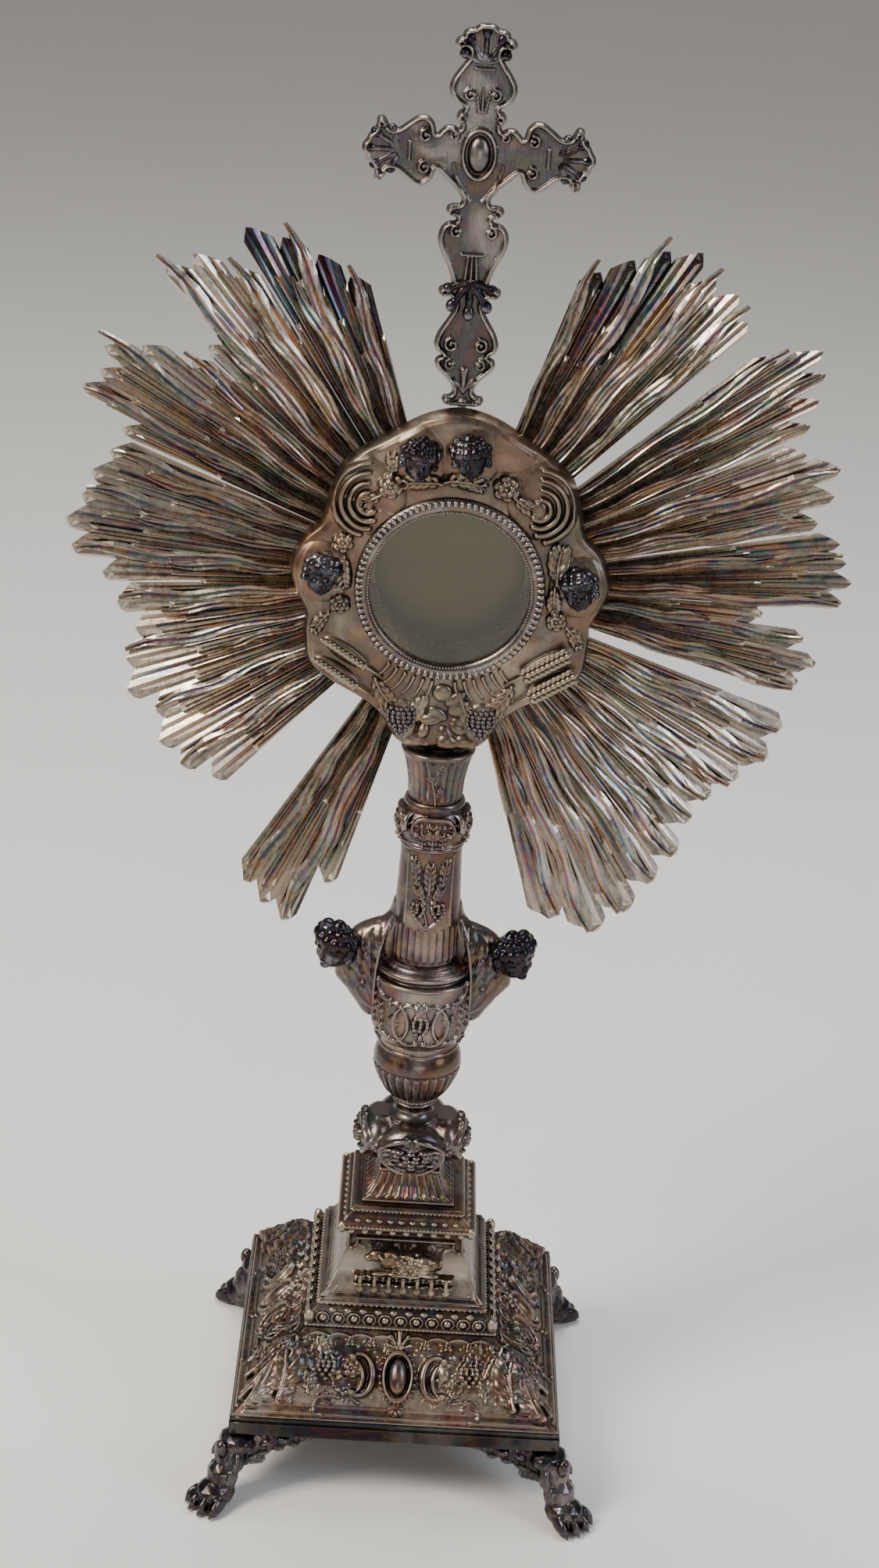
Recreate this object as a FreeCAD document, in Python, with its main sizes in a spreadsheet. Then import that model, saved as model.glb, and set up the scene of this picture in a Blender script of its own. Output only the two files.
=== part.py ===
import FreeCAD, Part
import math
import os

import Sketcher

# Monstrance: a square footed base, a baluster stem, a cloud-shaped sunburst head that holds a
# glazed round case for the host, and a cross on top.
# Origin: bottom centre of the object, on the floor. +Z up, -Y is the front. Millimetres.

V = FreeCAD.Vector
doc = FreeCAD.newDocument("monstrance")
sheet = doc.addObject("Spreadsheet::Sheet", "Sizes")
parts = {}


class Size:
    """A length that is known as a number and as an expression on the sheet."""

    def __init__(self, value, text):
        self.value = float(value)
        self.text = text

    def __add__(self, other):
        other = as_size(other)
        return Size(self.value + other.value, f"({self.text} + {other.text})")

    def __sub__(self, other):
        other = as_size(other)
        return Size(self.value - other.value, f"({self.text} - {other.text})")

    def __rsub__(self, other):
        return as_size(other) - self

    def __mul__(self, factor):
        return Size(self.value * factor, f"({self.text} * {factor:.6f})")

    def __neg__(self):
        return Size(-self.value, f"(0 - {self.text})")

    __radd__ = __add__
    __rmul__ = __mul__


def as_size(value):
    return value if isinstance(value, Size) else Size(value, f"{value:.6f}")


def size(alias, value):
    """Write one driving dimension to the sheet and give it back as a Size."""
    row = size.row
    sheet.set(f"A{row}", alias)
    sheet.set(f"B{row}", str(value))
    sheet.setAlias(f"B{row}", alias)
    size.row += 1
    return Size(value, f"Sizes.{alias}")


size.row = 1

# --- Driving dimensions -----------------------------------------------------------------------
# Fits
fit_gap = size("fit_gap", 0.15)              # between a piece and the one it is fitted round
slide_gap = size("slide_gap", 0.3)           # between the shut door and what it passes
running_gap = size("running_gap", 0.05)      # radial, pin or stud in its bore
sheet_wall = size("sheet_wall", 1.5)         # stamped sheet

# Base, from the floor up. A "half" is half the width of a square.
foot_height = size("foot_height", 35.0)
paw_offset = size("paw_offset", 6.0)         # paw centre outside the band, along each side
paw_half_length = size("paw_half_length", 14.0)
paw_half_width = size("paw_half_width", 10.0)
wing_length = size("wing_length", 36.0)
wing_drop = size("wing_drop", 15.0)
wing_thick = size("wing_thick", 4.5)
foot_pad_half = size("foot_pad_half", 8.0)
foot_screw_inset = size("foot_screw_inset", 10.0)
foot_screw_radius = size("foot_screw_radius", 2.0)
foot_screw_depth = size("foot_screw_depth", 11.0)
band_half = size("band_half", 75.0)
band_height = size("band_height", 10.0)
band_wall = size("band_wall", 2.0)
bottom_plate_thick = size("bottom_plate_thick", 1.5)
bottom_ledge = size("bottom_ledge", 1.5)
band_step = size("band_step", 7.5)           # ledge between the band and the pyramid
pyramid_height = size("pyramid_height", 29.0)
cornice_half = size("cornice_half", 44.0)
cornice_height = size("cornice_height", 12.0)
pedestal_half = size("pedestal_half", 37.0)
pedestal_top_half = size("pedestal_top_half", 25.0)
pedestal_height = size("pedestal_height", 29.0)
crown_half = size("crown_half", 31.5)
crown_top_half = size("crown_top_half", 23.4)
crown_height = size("crown_height", 13.0)
neck_half = size("neck_half", 18.8)
neck_top_half = size("neck_top_half", 12.3)
neck_height = size("neck_height", 14.5)
book_half_width = size("book_half_width", 23.0)
lamb_half_length = size("lamb_half_length", 14.0)

# Stem
rod_radius = size("rod_radius", 3.0)
nut_half = size("nut_half", 6.0)
nut_height = size("nut_height", 5.0)
washer_radius = size("washer_radius", 9.0)
washer_thick = size("washer_thick", 1.5)
knop_height = size("knop_height", 20.5)
knop_core_radius = size("knop_core_radius", 15.0)
knop_lobe_out = size("knop_lobe_out", 24.5)
knop_lobe_half_width = size("knop_lobe_half_width", 15.7)
knop_lobe_half_depth = size("knop_lobe_half_depth", 9.0)
knop_lobe_half_height = size("knop_lobe_half_height", 12.0)
saucer_radius = size("saucer_radius", 12.8)
saucer_height = size("saucer_height", 10.0)
milled_radius = size("milled_radius", 10.5)
milled_height = size("milled_height", 3.0)
vase_radius = size("vase_radius", 19.9)
vase_height = size("vase_height", 30.0)
vase_neck_radius = size("vase_neck_radius", 17.4)
cup_radius = size("cup_radius", 23.0)
cup_height = size("cup_height", 41.0)
column_radius = size("column_radius", 15.0)
column_top_radius = size("column_top_radius", 13.5)
column_height = size("column_height", 57.0)
shoulder_reach = size("shoulder_reach", 39.6)
shoulder_half_depth = size("shoulder_half_depth", 9.0)
shoulder_rise = size("shoulder_rise", 61.0)
cherub_reach = size("cherub_reach", 38.2)
cherub_half_width = size("cherub_half_width", 9.8)
cherub_half_height = size("cherub_half_height", 14.0)
collar_radius = size("collar_radius", 16.0)
collar_height = size("collar_height", 20.0)
upper_radius = size("upper_radius", 11.6)
upper_height = size("upper_height", 24.0)
flare_radius = size("flare_radius", 16.2)
tenon_radius = size("tenon_radius", 7.0)
tenon_height = size("tenon_height", 14.0)

# Head. Depths are along Y, the front is negative.
cloud_width = size("cloud_width", 25.5)      # from the drum to the cloud's outline at the sides
cloud_depth = size("cloud_depth", 9.0)
trim_inset = size("trim_inset", 4.0)         # cast heads and grapes inside the cloud's reach
ray_thick = size("ray_thick", 2.0)
ring_thick = size("ring_thick", 1.5)
ray_root_land = size("ray_root_land", 6.5)   # of the ray ring inside them
back_thick = size("back_thick", 1.5)
back_inset = size("back_inset", 1.5)
screw_land = size("screw_land", 11.5)        # head screws outside the drum
screw_radius = size("screw_radius", 1.5)
boss_radius = size("boss_radius", 3.2)
drum_bore = size("drum_bore", 36.8)
drum_wall = size("drum_wall", 1.7)
drum_back = size("drum_back", 11.5)          # rear rim of the drum
drum_flange = size("drum_flange", 5.5)
bezel_lap = size("bezel_lap", 3.2)           # of the bezel over the glass
bezel_land = size("bezel_land", 1.7)         # of the bezel outside the drum
bezel_depth = size("bezel_depth", 4.0)
glass_thick = size("glass_thick", 1.5)
retainer_depth = size("retainer_depth", 7.0)
seat_width = size("seat_width", 8.0)
door_lap = size("door_lap", 4.8)             # of the door frame inside the drum's bore
door_land = size("door_land", 0.7)           # of the door frame outside the drum
door_thick = size("door_thick", 2.4)
door_disc_thick = size("door_disc_thick", 0.8)
hinge_offset = size("hinge_offset", 4.3)     # hinge axis outside the door frame
hinge_half_height = size("hinge_half_height", 9.0)
hinge_pin_radius = size("hinge_pin_radius", 1.0)
knuckle_radius = size("knuckle_radius", 2.2)
leaf_thick = size("leaf_thick", 1.2)
button_offset = size("button_offset", 8.3)   # turn button outside the door frame
button_length = size("button_length", 11.0)
button_thick = size("button_thick", 1.5)
button_hub = size("button_hub", 3.4)
stud_radius = size("stud_radius", 1.5)
cross_height = size("cross_height", 153.0)
cross_span = size("cross_span", 46.3)        # arm end from the middle
cross_thick = size("cross_thick", 3.0)
cross_sink = size("cross_sink", 12.0)        # tongue held inside the head

# --- Levels worked out from them ----------------------------------------------------------------
z_band_top = foot_height + band_height
z_pyramid_top = z_band_top + pyramid_height
z_cornice_top = z_pyramid_top + cornice_height
z_pedestal_top = z_cornice_top + pedestal_height
z_crown_top = z_pedestal_top + crown_height
z_neck_top = z_crown_top + neck_height
z_knop_top = z_neck_top + knop_height
z_saucer_top = z_knop_top + saucer_height
z_milled_top = z_saucer_top + milled_height
z_vase_top = z_milled_top + vase_height
z_cup_top = z_vase_top + cup_height
z_column_top = z_cup_top + column_height
z_collar_top = z_column_top + collar_height
z_upper_top = z_collar_top + upper_height
foot_reach = band_half + paw_offset
foot_screw_place = band_half - foot_screw_inset
pyramid_half = band_half - band_step
bore_radius = rod_radius + fit_gap
y_rim = -ray_thick                            # where the front cloud shell meets the rays
y_front = y_rim - cloud_depth
y_back = ring_thick + back_thick              # rear face of the back shell
drum_outer = drum_bore + drum_wall
cloud_reach = drum_outer + cloud_width
case_height = z_upper_top + cloud_reach * (75.0 / 64.0)
hole_radius = drum_outer + fit_gap
ray_root = drum_outer + ray_root_land
ring_radius = drum_outer + cloud_width * (18.5 / 25.5)
screw_circle = drum_outer + screw_land
bezel_inner = drum_bore - bezel_lap
bezel_outer = drum_outer + bezel_land
door_inner = drum_bore - door_lap
door_outer = drum_outer + door_land
hinge_place = door_outer + hinge_offset
button_place = door_outer + button_offset
trim_reach = cloud_reach - trim_inset
side_trim_reach = cloud_reach - trim_inset * 2.5
y_door = drum_back + slide_gap
y_door_back = y_door + door_thick
y_hinge = y_door + door_thick * 0.5


# --- Builders -----------------------------------------------------------------------------------
def bind(thing, **lengths):
    for prop, length in lengths.items():
        thing.setExpression(prop.replace("_", "."), as_size(length).text)


def place(thing, x=0, y=0, z=0, rotation=None):
    """Give a feature its Placement, with the position bound to the sheet."""
    base = [as_size(c) for c in (x, y, z)]
    thing.Placement = FreeCAD.Placement(
        V(*[c.value for c in base]), rotation or FreeCAD.Rotation()
    )
    bind(thing, Placement_Base_x=base[0], Placement_Base_y=base[1], Placement_Base_z=base[2])
    return thing


def box(x0, x1, y0, y1, z0, z1):
    feature = doc.addObject("Part::Box", "Block")
    low = [as_size(c) for c in (x0, y0, z0)]
    high = [as_size(c) for c in (x1, y1, z1)]
    bind(feature, Length=high[0] - low[0], Width=high[1] - low[1], Height=high[2] - low[2])
    return place(feature, *low)


def cylinder(radius, start, end, x=0, y=0, z=0, axis="z"):
    """A cylinder along an axis from start to end; x, y, z place the other two coordinates."""
    feature = doc.addObject("Part::Cylinder", "Round")
    start, end = as_size(start), as_size(end)
    bind(feature, Radius=radius, Height=end - start)
    where = {"x": x, "y": y, "z": z}
    where[axis] = start
    towards = {"x": V(1, 0, 0), "y": V(0, 1, 0), "z": V(0, 0, 1)}[axis]
    return place(feature, where["x"], where["y"], where["z"], FreeCAD.Rotation(V(0, 0, 1), towards))


def ellipsoid(x, y, z, half_x, half_y, half_z, turn=0.0, tilt=None):
    feature = doc.addObject("Part::Ellipsoid", "Rounded")
    feature.Angle1, feature.Angle2, feature.Angle3 = -90, 90, 360
    bind(feature, Radius1=half_z, Radius2=half_x, Radius3=half_y)
    return place(feature, x, y, z, tilt or FreeCAD.Rotation(V(0, 0, 1), turn))


def fuse(*things):
    feature = doc.addObject("Part::MultiFuse", "Joined")
    feature.Shapes = list(things)
    return feature


def group(*things):
    feature = doc.addObject("Part::Compound", "Group")
    feature.Links = list(things)
    return feature


def cut(base, *tools):
    feature = doc.addObject("Part::Cut", "Trimmed")
    feature.Base = base
    feature.Tool = tools[0] if len(tools) == 1 else fuse(*tools)
    return feature


def common(base, tool):
    feature = doc.addObject("Part::Common", "Shared")
    feature.Base = base
    feature.Tool = tool
    return feature


def new_body(name):
    return doc.addObject("PartDesign::Body", "Body_" + name)


def draw(body, plane, points, name):
    """A closed outline of straight lines whose corners are bound to the sheet."""
    sketch = body.newObject("Sketcher::SketchObject", name)
    origin = [f for f in body.Origin.OriginFeatures if f.Role == plane][0]
    sketch.AttachmentSupport = (origin, [""])
    sketch.MapMode = "FlatFace"
    corners = [(as_size(u), as_size(v)) for u, v in points]
    count = len(corners)
    for i, (u, v) in enumerate(corners):
        nu, nv = corners[(i + 1) % count]
        line = Part.LineSegment(V(u.value, v.value, 0), V(nu.value, nv.value, 0))
        sketch.addGeometry(line, False)
    for i in range(count):
        sketch.addConstraint(Sketcher.Constraint("Coincident", i, 2, (i + 1) % count, 1))
    for i, (u, v) in enumerate(corners):
        for kind, axis_line, length in (("DistanceX", -2, u), ("DistanceY", -1, v)):
            if abs(length.value) < 1e-9:
                sketch.addConstraint(Sketcher.Constraint("PointOnObject", i, 1, axis_line))
                continue
            ends = (-1, 1, i, 1) if length.value > 0 else (i, 1, -1, 1)
            away = length if length.value > 0 else -length
            number = sketch.addConstraint(Sketcher.Constraint(kind, *ends, away.value))
            sketch.setExpression(f"Constraints[{number}]", away.text)
    return sketch


def pad(name, points, y_from, depth, taper=0.0):
    """A plate in the XZ plane, y_from to y_from minus depth, drawn about its own zero height."""
    body = new_body(name)
    sketch = draw(body, "XZ_Plane", points, "Outline_" + name)
    feature = body.newObject("PartDesign::Pad", "Pad_" + name)
    feature.Profile = sketch
    bind(feature, Length=depth)
    if taper:
        feature.TaperAngle = taper
    return place(body, 0, y_from, 0)


def turned(name, points, axis="z", x=0, y=0, z=0):
    """A solid of revolution about Z or Y from (radius, level) corners."""
    body = new_body(name)
    plane = "XZ_Plane" if axis == "z" else "XY_Plane"
    sketch = draw(body, plane, points, "Profile_" + name)
    feature = body.newObject("PartDesign::Revolution", "Turned_" + name)
    feature.Profile = sketch
    feature.ReferenceAxis = (sketch, ["V_Axis"])
    feature.Angle = 360
    return place(body, x, y, z)


def hollow_turned(name, outer, wall, cap, bore=None):
    """A turned shell: outer corners from the bottom up, a wall, and ends bored for the rod."""
    bore = bore or bore_radius
    first, last = outer[0][1], outer[-1][1]
    inner = [(r - wall, z) for r, z in outer if first.value + cap.value < z.value < last.value - cap.value]
    profile = [(bore, first)] + outer + [(bore, last)]
    if inner:
        near_top = outer[-1][0] - wall
        near_base = outer[0][0] - wall
        profile += [(bore, last - cap), (near_top, last - cap)]
        profile += list(reversed(inner))
        profile += [(near_base, first + cap), (bore, first + cap)]
    return turned(name, profile)


def square_stack(levels):
    """A ruled loft through squares given as (half width, height), lowest first."""
    outlines = []
    for half, z in levels:
        square = doc.addObject("Part::RegularPolygon", "Square")
        square.Polygon = 4
        bind(square, Circumradius=as_size(half) * math.sqrt(2))
        outlines.append(place(square, 0, 0, z, FreeCAD.Rotation(V(0, 0, 1), 45)))
    loft = doc.addObject("Part::Loft", "Stack")
    loft.Sections = outlines
    loft.Solid = True
    loft.Ruled = True
    return loft


def square_shell(levels, wall):
    """A hollow square stack, open at both ends, with its walls thinned by an inner stack."""
    inner = [(half - wall, z) for half, z in levels]
    inner[0] = (inner[0][0], levels[0][1] - 1)
    inner[-1] = (inner[-1][0], levels[-1][1] + 1)
    return cut(square_stack(levels), square_stack(inner))


def between(start, end, share):
    """The level a share of the way from one size to another."""
    return start * (1 - share) + end * share


def curve(half0, z0, half1, z1, shares):
    """(half, height) corners; shares give the progress inwards and upwards of each corner."""
    return [(between(half0, half1, s), between(z0, z1, t)) for s, t in shares]


def keep(name, feature):
    feature.Label = name
    parts[name] = feature
    return feature


# --- Base ---------------------------------------------------------------------------------------
def build_base():
    z_ledge = foot_height + bottom_plate_thick
    band_inner = band_half - band_wall
    frame = cut(
        box(-band_half, band_half, -band_half, band_half, foot_height, z_band_top),
        box(-band_inner, band_inner, -band_inner, band_inner, foot_height - 1, z_ledge),
        box(
            bottom_ledge - band_inner, band_inner - bottom_ledge,
            bottom_ledge - band_inner, band_inner - bottom_ledge,
            foot_height, z_band_top - sheet_wall,
        ),
        box(
            sheet_wall * 2 - pyramid_half, pyramid_half - sheet_wall * 2,
            sheet_wall * 2 - pyramid_half, pyramid_half - sheet_wall * 2,
            foot_height, z_band_top + 1,
        ),
    )
    keep("base_plinth", frame)

    plate_half = band_inner - fit_gap
    plate = box(-plate_half, plate_half, -plate_half, plate_half, foot_height, z_ledge)
    holes = [cylinder(bore_radius, foot_height - 1, z_ledge + 1)]
    for sx, sy in corners():
        holes.append(
            cylinder(
                foot_screw_radius + fit_gap, foot_height - 1, z_ledge + 1,
                x=foot_screw_place * sx, y=foot_screw_place * sy,
            )
        )
    keep("bottom_plate", cut(plate, *holes))

    shares = [(0, 0), (0.03, 0.05), (0.3, 0.3), (0.57, 0.62), (0.83, 0.86), (1, 1)]
    neck = cornice_half - sheet_wall
    keep(
        "lower_pyramid",
        square_shell(curve(pyramid_half, z_band_top, neck, z_pyramid_top, shares), sheet_wall),
    )

    flare = [
        (neck, z_pyramid_top),
        (cornice_half - 0.5, z_pyramid_top + 1),
        (cornice_half, z_pyramid_top + 3),
        (cornice_half - 1, z_pyramid_top + 5),
        (pedestal_half + 2.5, z_cornice_top - 2),
        (pedestal_half + 1, z_cornice_top),
    ]
    keep("middle_cornice", square_shell(flare, sheet_wall * 2))

    keep("pedestal_body", square_shell(pedestal_levels(0), sheet_wall))

    crown = [
        (pedestal_top_half + 1, z_pedestal_top),
        (crown_half - 1.5, z_pedestal_top + 3),
        (crown_half, z_pedestal_top + 5.5),
        (crown_half - 1, z_pedestal_top + 7),
        (crown_top_half + 2, z_crown_top - 2),
        (crown_top_half, z_crown_top),
    ]
    lid = square_stack(crown)
    hollow = box(
        sheet_wall - pedestal_top_half, pedestal_top_half - sheet_wall,
        sheet_wall - pedestal_top_half, pedestal_top_half - sheet_wall,
        z_pedestal_top - 1, z_pedestal_top + 8,
    )
    keep("upper_cornice", cut(lid, hollow, cylinder(bore_radius, z_pedestal_top, z_crown_top + 1)))

    neck_levels = [
        (neck_half + 2.2, z_crown_top),
        (neck_half + 2.2, z_crown_top + 1.5),
        (neck_half, z_crown_top + 2),
        (between(neck_half, neck_top_half, 0.5), z_crown_top + 6),
        (neck_top_half + 0.9, z_neck_top - 4),
        (neck_top_half, z_neck_top),
    ]
    hole = cylinder(bore_radius, z_crown_top - 1, z_neck_top + 1)
    keep("fluted_neck", cut(square_stack(neck_levels), hole))


def pedestal_levels(grown):
    """The pedestal's hollow-sided outline, from its foot up, grown outwards by a gap."""
    shares = [(0, 0), (0.3, 0.09), (0.58, 0.26), (0.8, 0.45), (0.93, 0.66), (1, 0.9), (1, 1)]
    return curve(
        pedestal_half + grown, z_cornice_top, pedestal_top_half + grown, z_pedestal_top, shares
    )


def corners():
    return [(-1, -1), (1, -1), (1, 1), (-1, 1)]


def build_feet():
    names = ["front_left", "front_right", "rear_right", "rear_left"]
    screws = []
    for name, (sx, sy) in zip(names, corners()):
        turn = math.degrees(math.atan2(sy, sx))
        paw = ellipsoid(
            foot_reach * sx, foot_reach * sy, 6.5, paw_half_length, paw_half_width, 8.5, turn
        )
        ankle = ellipsoid(
            foot_reach * sx - 5 * sx, foot_reach * sy - 5 * sy, foot_height * 0.5, 9, 8, 12, turn
        )
        pad_low = foot_screw_place - foot_pad_half
        pad_high = foot_screw_place + foot_pad_half
        pad_z = foot_height * 0.62
        block = span_box(pad_low, pad_high, pad_low, pad_high, pad_z, foot_height, sx, sy)
        wing_near = foot_screw_place
        wing_far = foot_screw_place - wing_length + foot_pad_half
        wing_out = band_half - 1.5
        wing_in = wing_out - wing_thick
        z_wing = foot_height - wing_drop
        wing_x = span_box(wing_far, wing_near, wing_in, wing_out, z_wing, foot_height, sx, sy)
        wing_y = span_box(wing_in, wing_out, wing_far, wing_near, z_wing, foot_height, sx, sy)
        reach = foot_reach + paw_half_length + 5
        below = span_box(40, reach, 40, reach, -20, 0, sx, sy)
        above = span_box(40, reach, 40, reach, foot_height, foot_height + 20, sx, sy)
        hole = cylinder(
            foot_screw_radius, foot_height - foot_screw_depth, foot_height + 1,
            x=foot_screw_place * sx, y=foot_screw_place * sy,
        )
        foot = cut(fuse(paw, ankle, block, wing_x, wing_y), below, above, hole)
        keep("paw_foot_" + name, foot)

        z_head = foot_height + bottom_plate_thick
        where = {"x": foot_screw_place * sx, "y": foot_screw_place * sy}
        shank = cylinder(
            foot_screw_radius - running_gap, foot_height - foot_screw_depth + 1, z_head, **where
        )
        head = cylinder(foot_screw_radius * 1.9, z_head, z_head + 2.5, **where)
        screws.append(fuse(shank, head))
    keep("foot_screws", group(*screws))


def span_box(x0, x1, y0, y1, z0, z1, sx, sy):
    """A box given for the corner where X and Y are positive, put into another corner."""
    x0, x1, y0, y1 = [as_size(c) for c in (x0, x1, y0, y1)]
    if sx < 0:
        x0, x1 = -x1, -x0
    if sy < 0:
        y0, y1 = -y1, -y0
    return box(x0, x1, y0, y1, z0, z1)


def build_lamb():
    """A closed book with seven hanging seals and a lamb lying on it, on the front panel."""
    z_book = z_cornice_top + 6
    z_lid = z_book + 6
    front = -(pedestal_half - 1)
    back = front + 14
    book = [box(-book_half_width, book_half_width, front, back, z_book, z_lid)]
    seal_pitch = book_half_width * (2 / 7)
    for i in range(7):
        middle = seal_pitch * (i - 3)
        book.append(
            box(middle - 1.6, middle + 1.6, front, front + 4, z_cornice_top + 1, z_book)
        )
    panel = square_stack(pedestal_levels(fit_gap))
    keep("seven_seal_book", cut(fuse(*book), panel))

    z_lamb = z_lid + 5.5
    y_lamb = front + 5
    trunk = ellipsoid(2, y_lamb, z_lamb, lamb_half_length, 5.5, 5.5)
    head = ellipsoid(-lamb_half_length - 1, y_lamb - 0.5, z_lamb + 3, 4.5, 3.6, 4)
    legs = box(-12, 16, front + 1, front + 9, z_lid, z_lid + 3)
    under = box(-40, 40, front - 10, back, z_book, z_lid)
    keep("lamb", cut(fuse(trunk, head, legs), under, panel))


# --- Stem ---------------------------------------------------------------------------------------
def build_stem():
    z_knop = between(z_neck_top, z_knop_top, 0.52)
    core = turned(
        "knop_core",
        [
            (0, z_neck_top),
            (neck_top_half * 0.9, z_neck_top),
            (knop_core_radius, z_neck_top + 5),
            (knop_core_radius, z_knop_top - 4),
            (saucer_radius - 1, z_knop_top),
            (0, z_knop_top),
        ],
    )
    lobe_middle = knop_lobe_out - knop_lobe_half_depth
    lobes = []
    for sx, sy in ((1, 0), (-1, 0), (0, 1), (0, -1)):
        half_x = knop_lobe_half_depth if sx else knop_lobe_half_width
        half_y = knop_lobe_half_depth if sy else knop_lobe_half_width
        lobes.append(
            ellipsoid(
                lobe_middle * sx, lobe_middle * sy, z_knop, half_x, half_y, knop_lobe_half_height
            )
        )
    knop = cut(
        fuse(core, *lobes),
        cylinder(bore_radius, z_neck_top - 20, z_knop_top + 20),
        cylinder(40, z_neck_top - 20, z_neck_top),
        cylinder(saucer_radius + fit_gap, z_knop_top, z_knop_top + 20),
    )
    keep("knop", knop)

    keep(
        "saucer_collar",
        turned(
            "saucer_collar",
            [
                (bore_radius, z_knop_top),
                (saucer_radius, z_knop_top),
                (saucer_radius, z_knop_top + 1),
                (saucer_radius - 3.4, z_knop_top + 3),
                (saucer_radius - 4.6, z_knop_top + 6),
                (saucer_radius - 3.6, z_saucer_top - 2),
                (milled_radius - 0.5, z_saucer_top),
                (bore_radius, z_saucer_top),
            ],
        ),
    )
    middle = between(z_saucer_top, z_milled_top, 0.5)
    keep(
        "milled_ring",
        turned(
            "milled_ring",
            [
                (bore_radius, z_saucer_top),
                (milled_radius - 0.6, z_saucer_top),
                (milled_radius, middle),
                (milled_radius - 0.6, z_milled_top),
                (bore_radius, z_milled_top),
            ],
        ),
    )

    vase = [
        (vase_radius - 8.5, z_milled_top),
        (vase_radius - 7, z_milled_top + 1.5),
        (vase_radius - 4.9, z_milled_top + 4.5),
        (vase_radius - 3, z_milled_top + 8),
        (vase_radius - 1.4, z_milled_top + 12),
        (vase_radius, z_milled_top + 16),
        (vase_radius, z_milled_top + 19),
        (vase_radius - 0.9, z_vase_top - 7.5),
        (vase_neck_radius + 0.2, z_vase_top - 4),
        (vase_neck_radius, z_vase_top),
    ]
    keep("stem_vase", hollow_turned("stem_vase", vase, sheet_wall, sheet_wall))

    z_ring = z_cup_top - 8
    cup = [
        (vase_neck_radius, z_vase_top),
        (cup_radius - 2.3, z_vase_top + 4),
        (cup_radius, z_vase_top + 7.5),
        (cup_radius, z_ring),
        (cup_radius - 2.2, z_ring + 1.5),
        (cup_radius - 1, z_ring + 4),
        (cup_radius - 3, z_cup_top - 2),
        (column_radius + 1.5, z_cup_top),
    ]
    keep("stem_cup", hollow_turned("stem_cup", cup, sheet_wall, sheet_wall))

    column = [
        (column_radius, z_cup_top),
        (column_radius - 0.3, z_cup_top + 20),
        (column_top_radius, z_column_top - 8),
        (column_top_radius, z_column_top),
    ]
    keep("stem_column", hollow_turned("stem_column", column, sheet_wall, sheet_wall))

    collar = [
        (column_top_radius + 0.6, z_column_top),
        (collar_radius - 1, z_column_top + 4),
        (collar_radius, z_column_top + 8),
        (collar_radius - 0.8, z_column_top + 12),
        (collar_radius - 2.6, z_column_top + 16),
        (upper_radius + 1, z_collar_top),
    ]
    keep("ionic_collar", hollow_turned("ionic_collar", collar, sheet_wall, sheet_wall))

    tenon_bore = tenon_radius + fit_gap
    z_tenon = z_upper_top - tenon_height
    upper = [
        (bore_radius, z_collar_top),
        (upper_radius, z_collar_top),
        (upper_radius + 0.5, z_collar_top + 9),
        (upper_radius + 1.8, z_collar_top + 15),
        (flare_radius - 1.6, z_upper_top - 3),
        (flare_radius, z_upper_top),
        (tenon_bore, z_upper_top),
        (tenon_bore, z_tenon - fit_gap),
        (bore_radius, z_tenon - fit_gap),
    ]
    keep("upper_column", turned("upper_column", upper))

    z_nut = foot_height - washer_thick - nut_height
    z_rod_top = z_upper_top - 2
    keep("tie_rod", cylinder(rod_radius, z_nut - 1, z_rod_top))
    washer = cut(
        cylinder(washer_radius, foot_height - washer_thick, foot_height),
        cylinder(bore_radius, 0, foot_height + 1),
    )
    keep("tie_rod_washer", washer)
    hexagon = doc.addObject("Part::Prism", "Hexagon")
    hexagon.Polygon = 6
    bind(hexagon, Circumradius=nut_half * (2 / math.sqrt(3)), Height=nut_height)
    place(hexagon, 0, 0, z_nut)
    keep("tie_rod_nut", cut(hexagon, cylinder(rod_radius + running_gap, 0, foot_height)))


def build_cherubs():
    """Winged side panels of the cup and the two child's heads on them."""
    z_low = z_vase_top + 8
    z_high = z_vase_top + shoulder_rise + 8
    z_reach = z_vase_top + 29
    outline = [
        (cup_radius - 2, z_low),
        (cup_radius + 6.2, z_low + 6.5),
        (cup_radius + 11, z_low + 13.5),
        (shoulder_reach, z_reach),
        (shoulder_reach, z_reach + 4),
        (shoulder_reach - 7, z_reach + 22),
        (column_radius + 4.5, z_high - 11),
        (column_radius - 0.8, z_high),
        (column_radius - 6, z_high),
        (column_radius - 6, z_low),
    ]
    for side, sign in (("left", -1), ("right", 1)):
        points = [(u * sign, v) for u, v in outline]
        if sign < 0:
            points.reverse()
        panel = pad("shoulder_" + side, points, shoulder_half_depth, shoulder_half_depth * 2)
        trimmed = cut(
            panel,
            cylinder(cup_radius + fit_gap, z_vase_top, z_cup_top + fit_gap),
            cylinder(column_radius + fit_gap, z_cup_top, z_high + 5),
        )
        keep("cherub_shoulder_" + side, trimmed)
        z_head = z_vase_top + 43
        head = ellipsoid(
            cherub_reach * sign, -2, z_head, cherub_half_width, 10.5, cherub_half_height
        )
        keep("cherub_head_" + side, cut(head, panel))


# --- Head ---------------------------------------------------------------------------------------
# The cloud's outline about the case centre: direction in degrees and reach, for the right half.
CLOUD = [
    (-90, 1.172), (-77, 1.17), (-67, 1.035), (-57, 1.0), (-44, 1.045), (-33, 1.085), (-22, 1.02),
    (-14, 0.975), (-5, 1.02), (4, 1.06), (15, 1.02), (25, 0.95), (36, 1.01), (47, 1.08), (58, 1.09),
    (70, 1.115), (80, 1.16), (90, 1.185),
]
CLOUD_TOP = CLOUD[-1][1]


def polar(radius, degrees):
    angle = math.radians(degrees)
    return (radius * math.cos(angle), radius * math.sin(angle) + case_height)


def cloud_outline(inset):
    right = [polar(cloud_reach * share - inset, degrees) for degrees, share in CLOUD]
    left = [polar(cloud_reach * share - inset, 180 - degrees) for degrees, share in CLOUD[1:-1]]
    return right + list(reversed(left))


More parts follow.
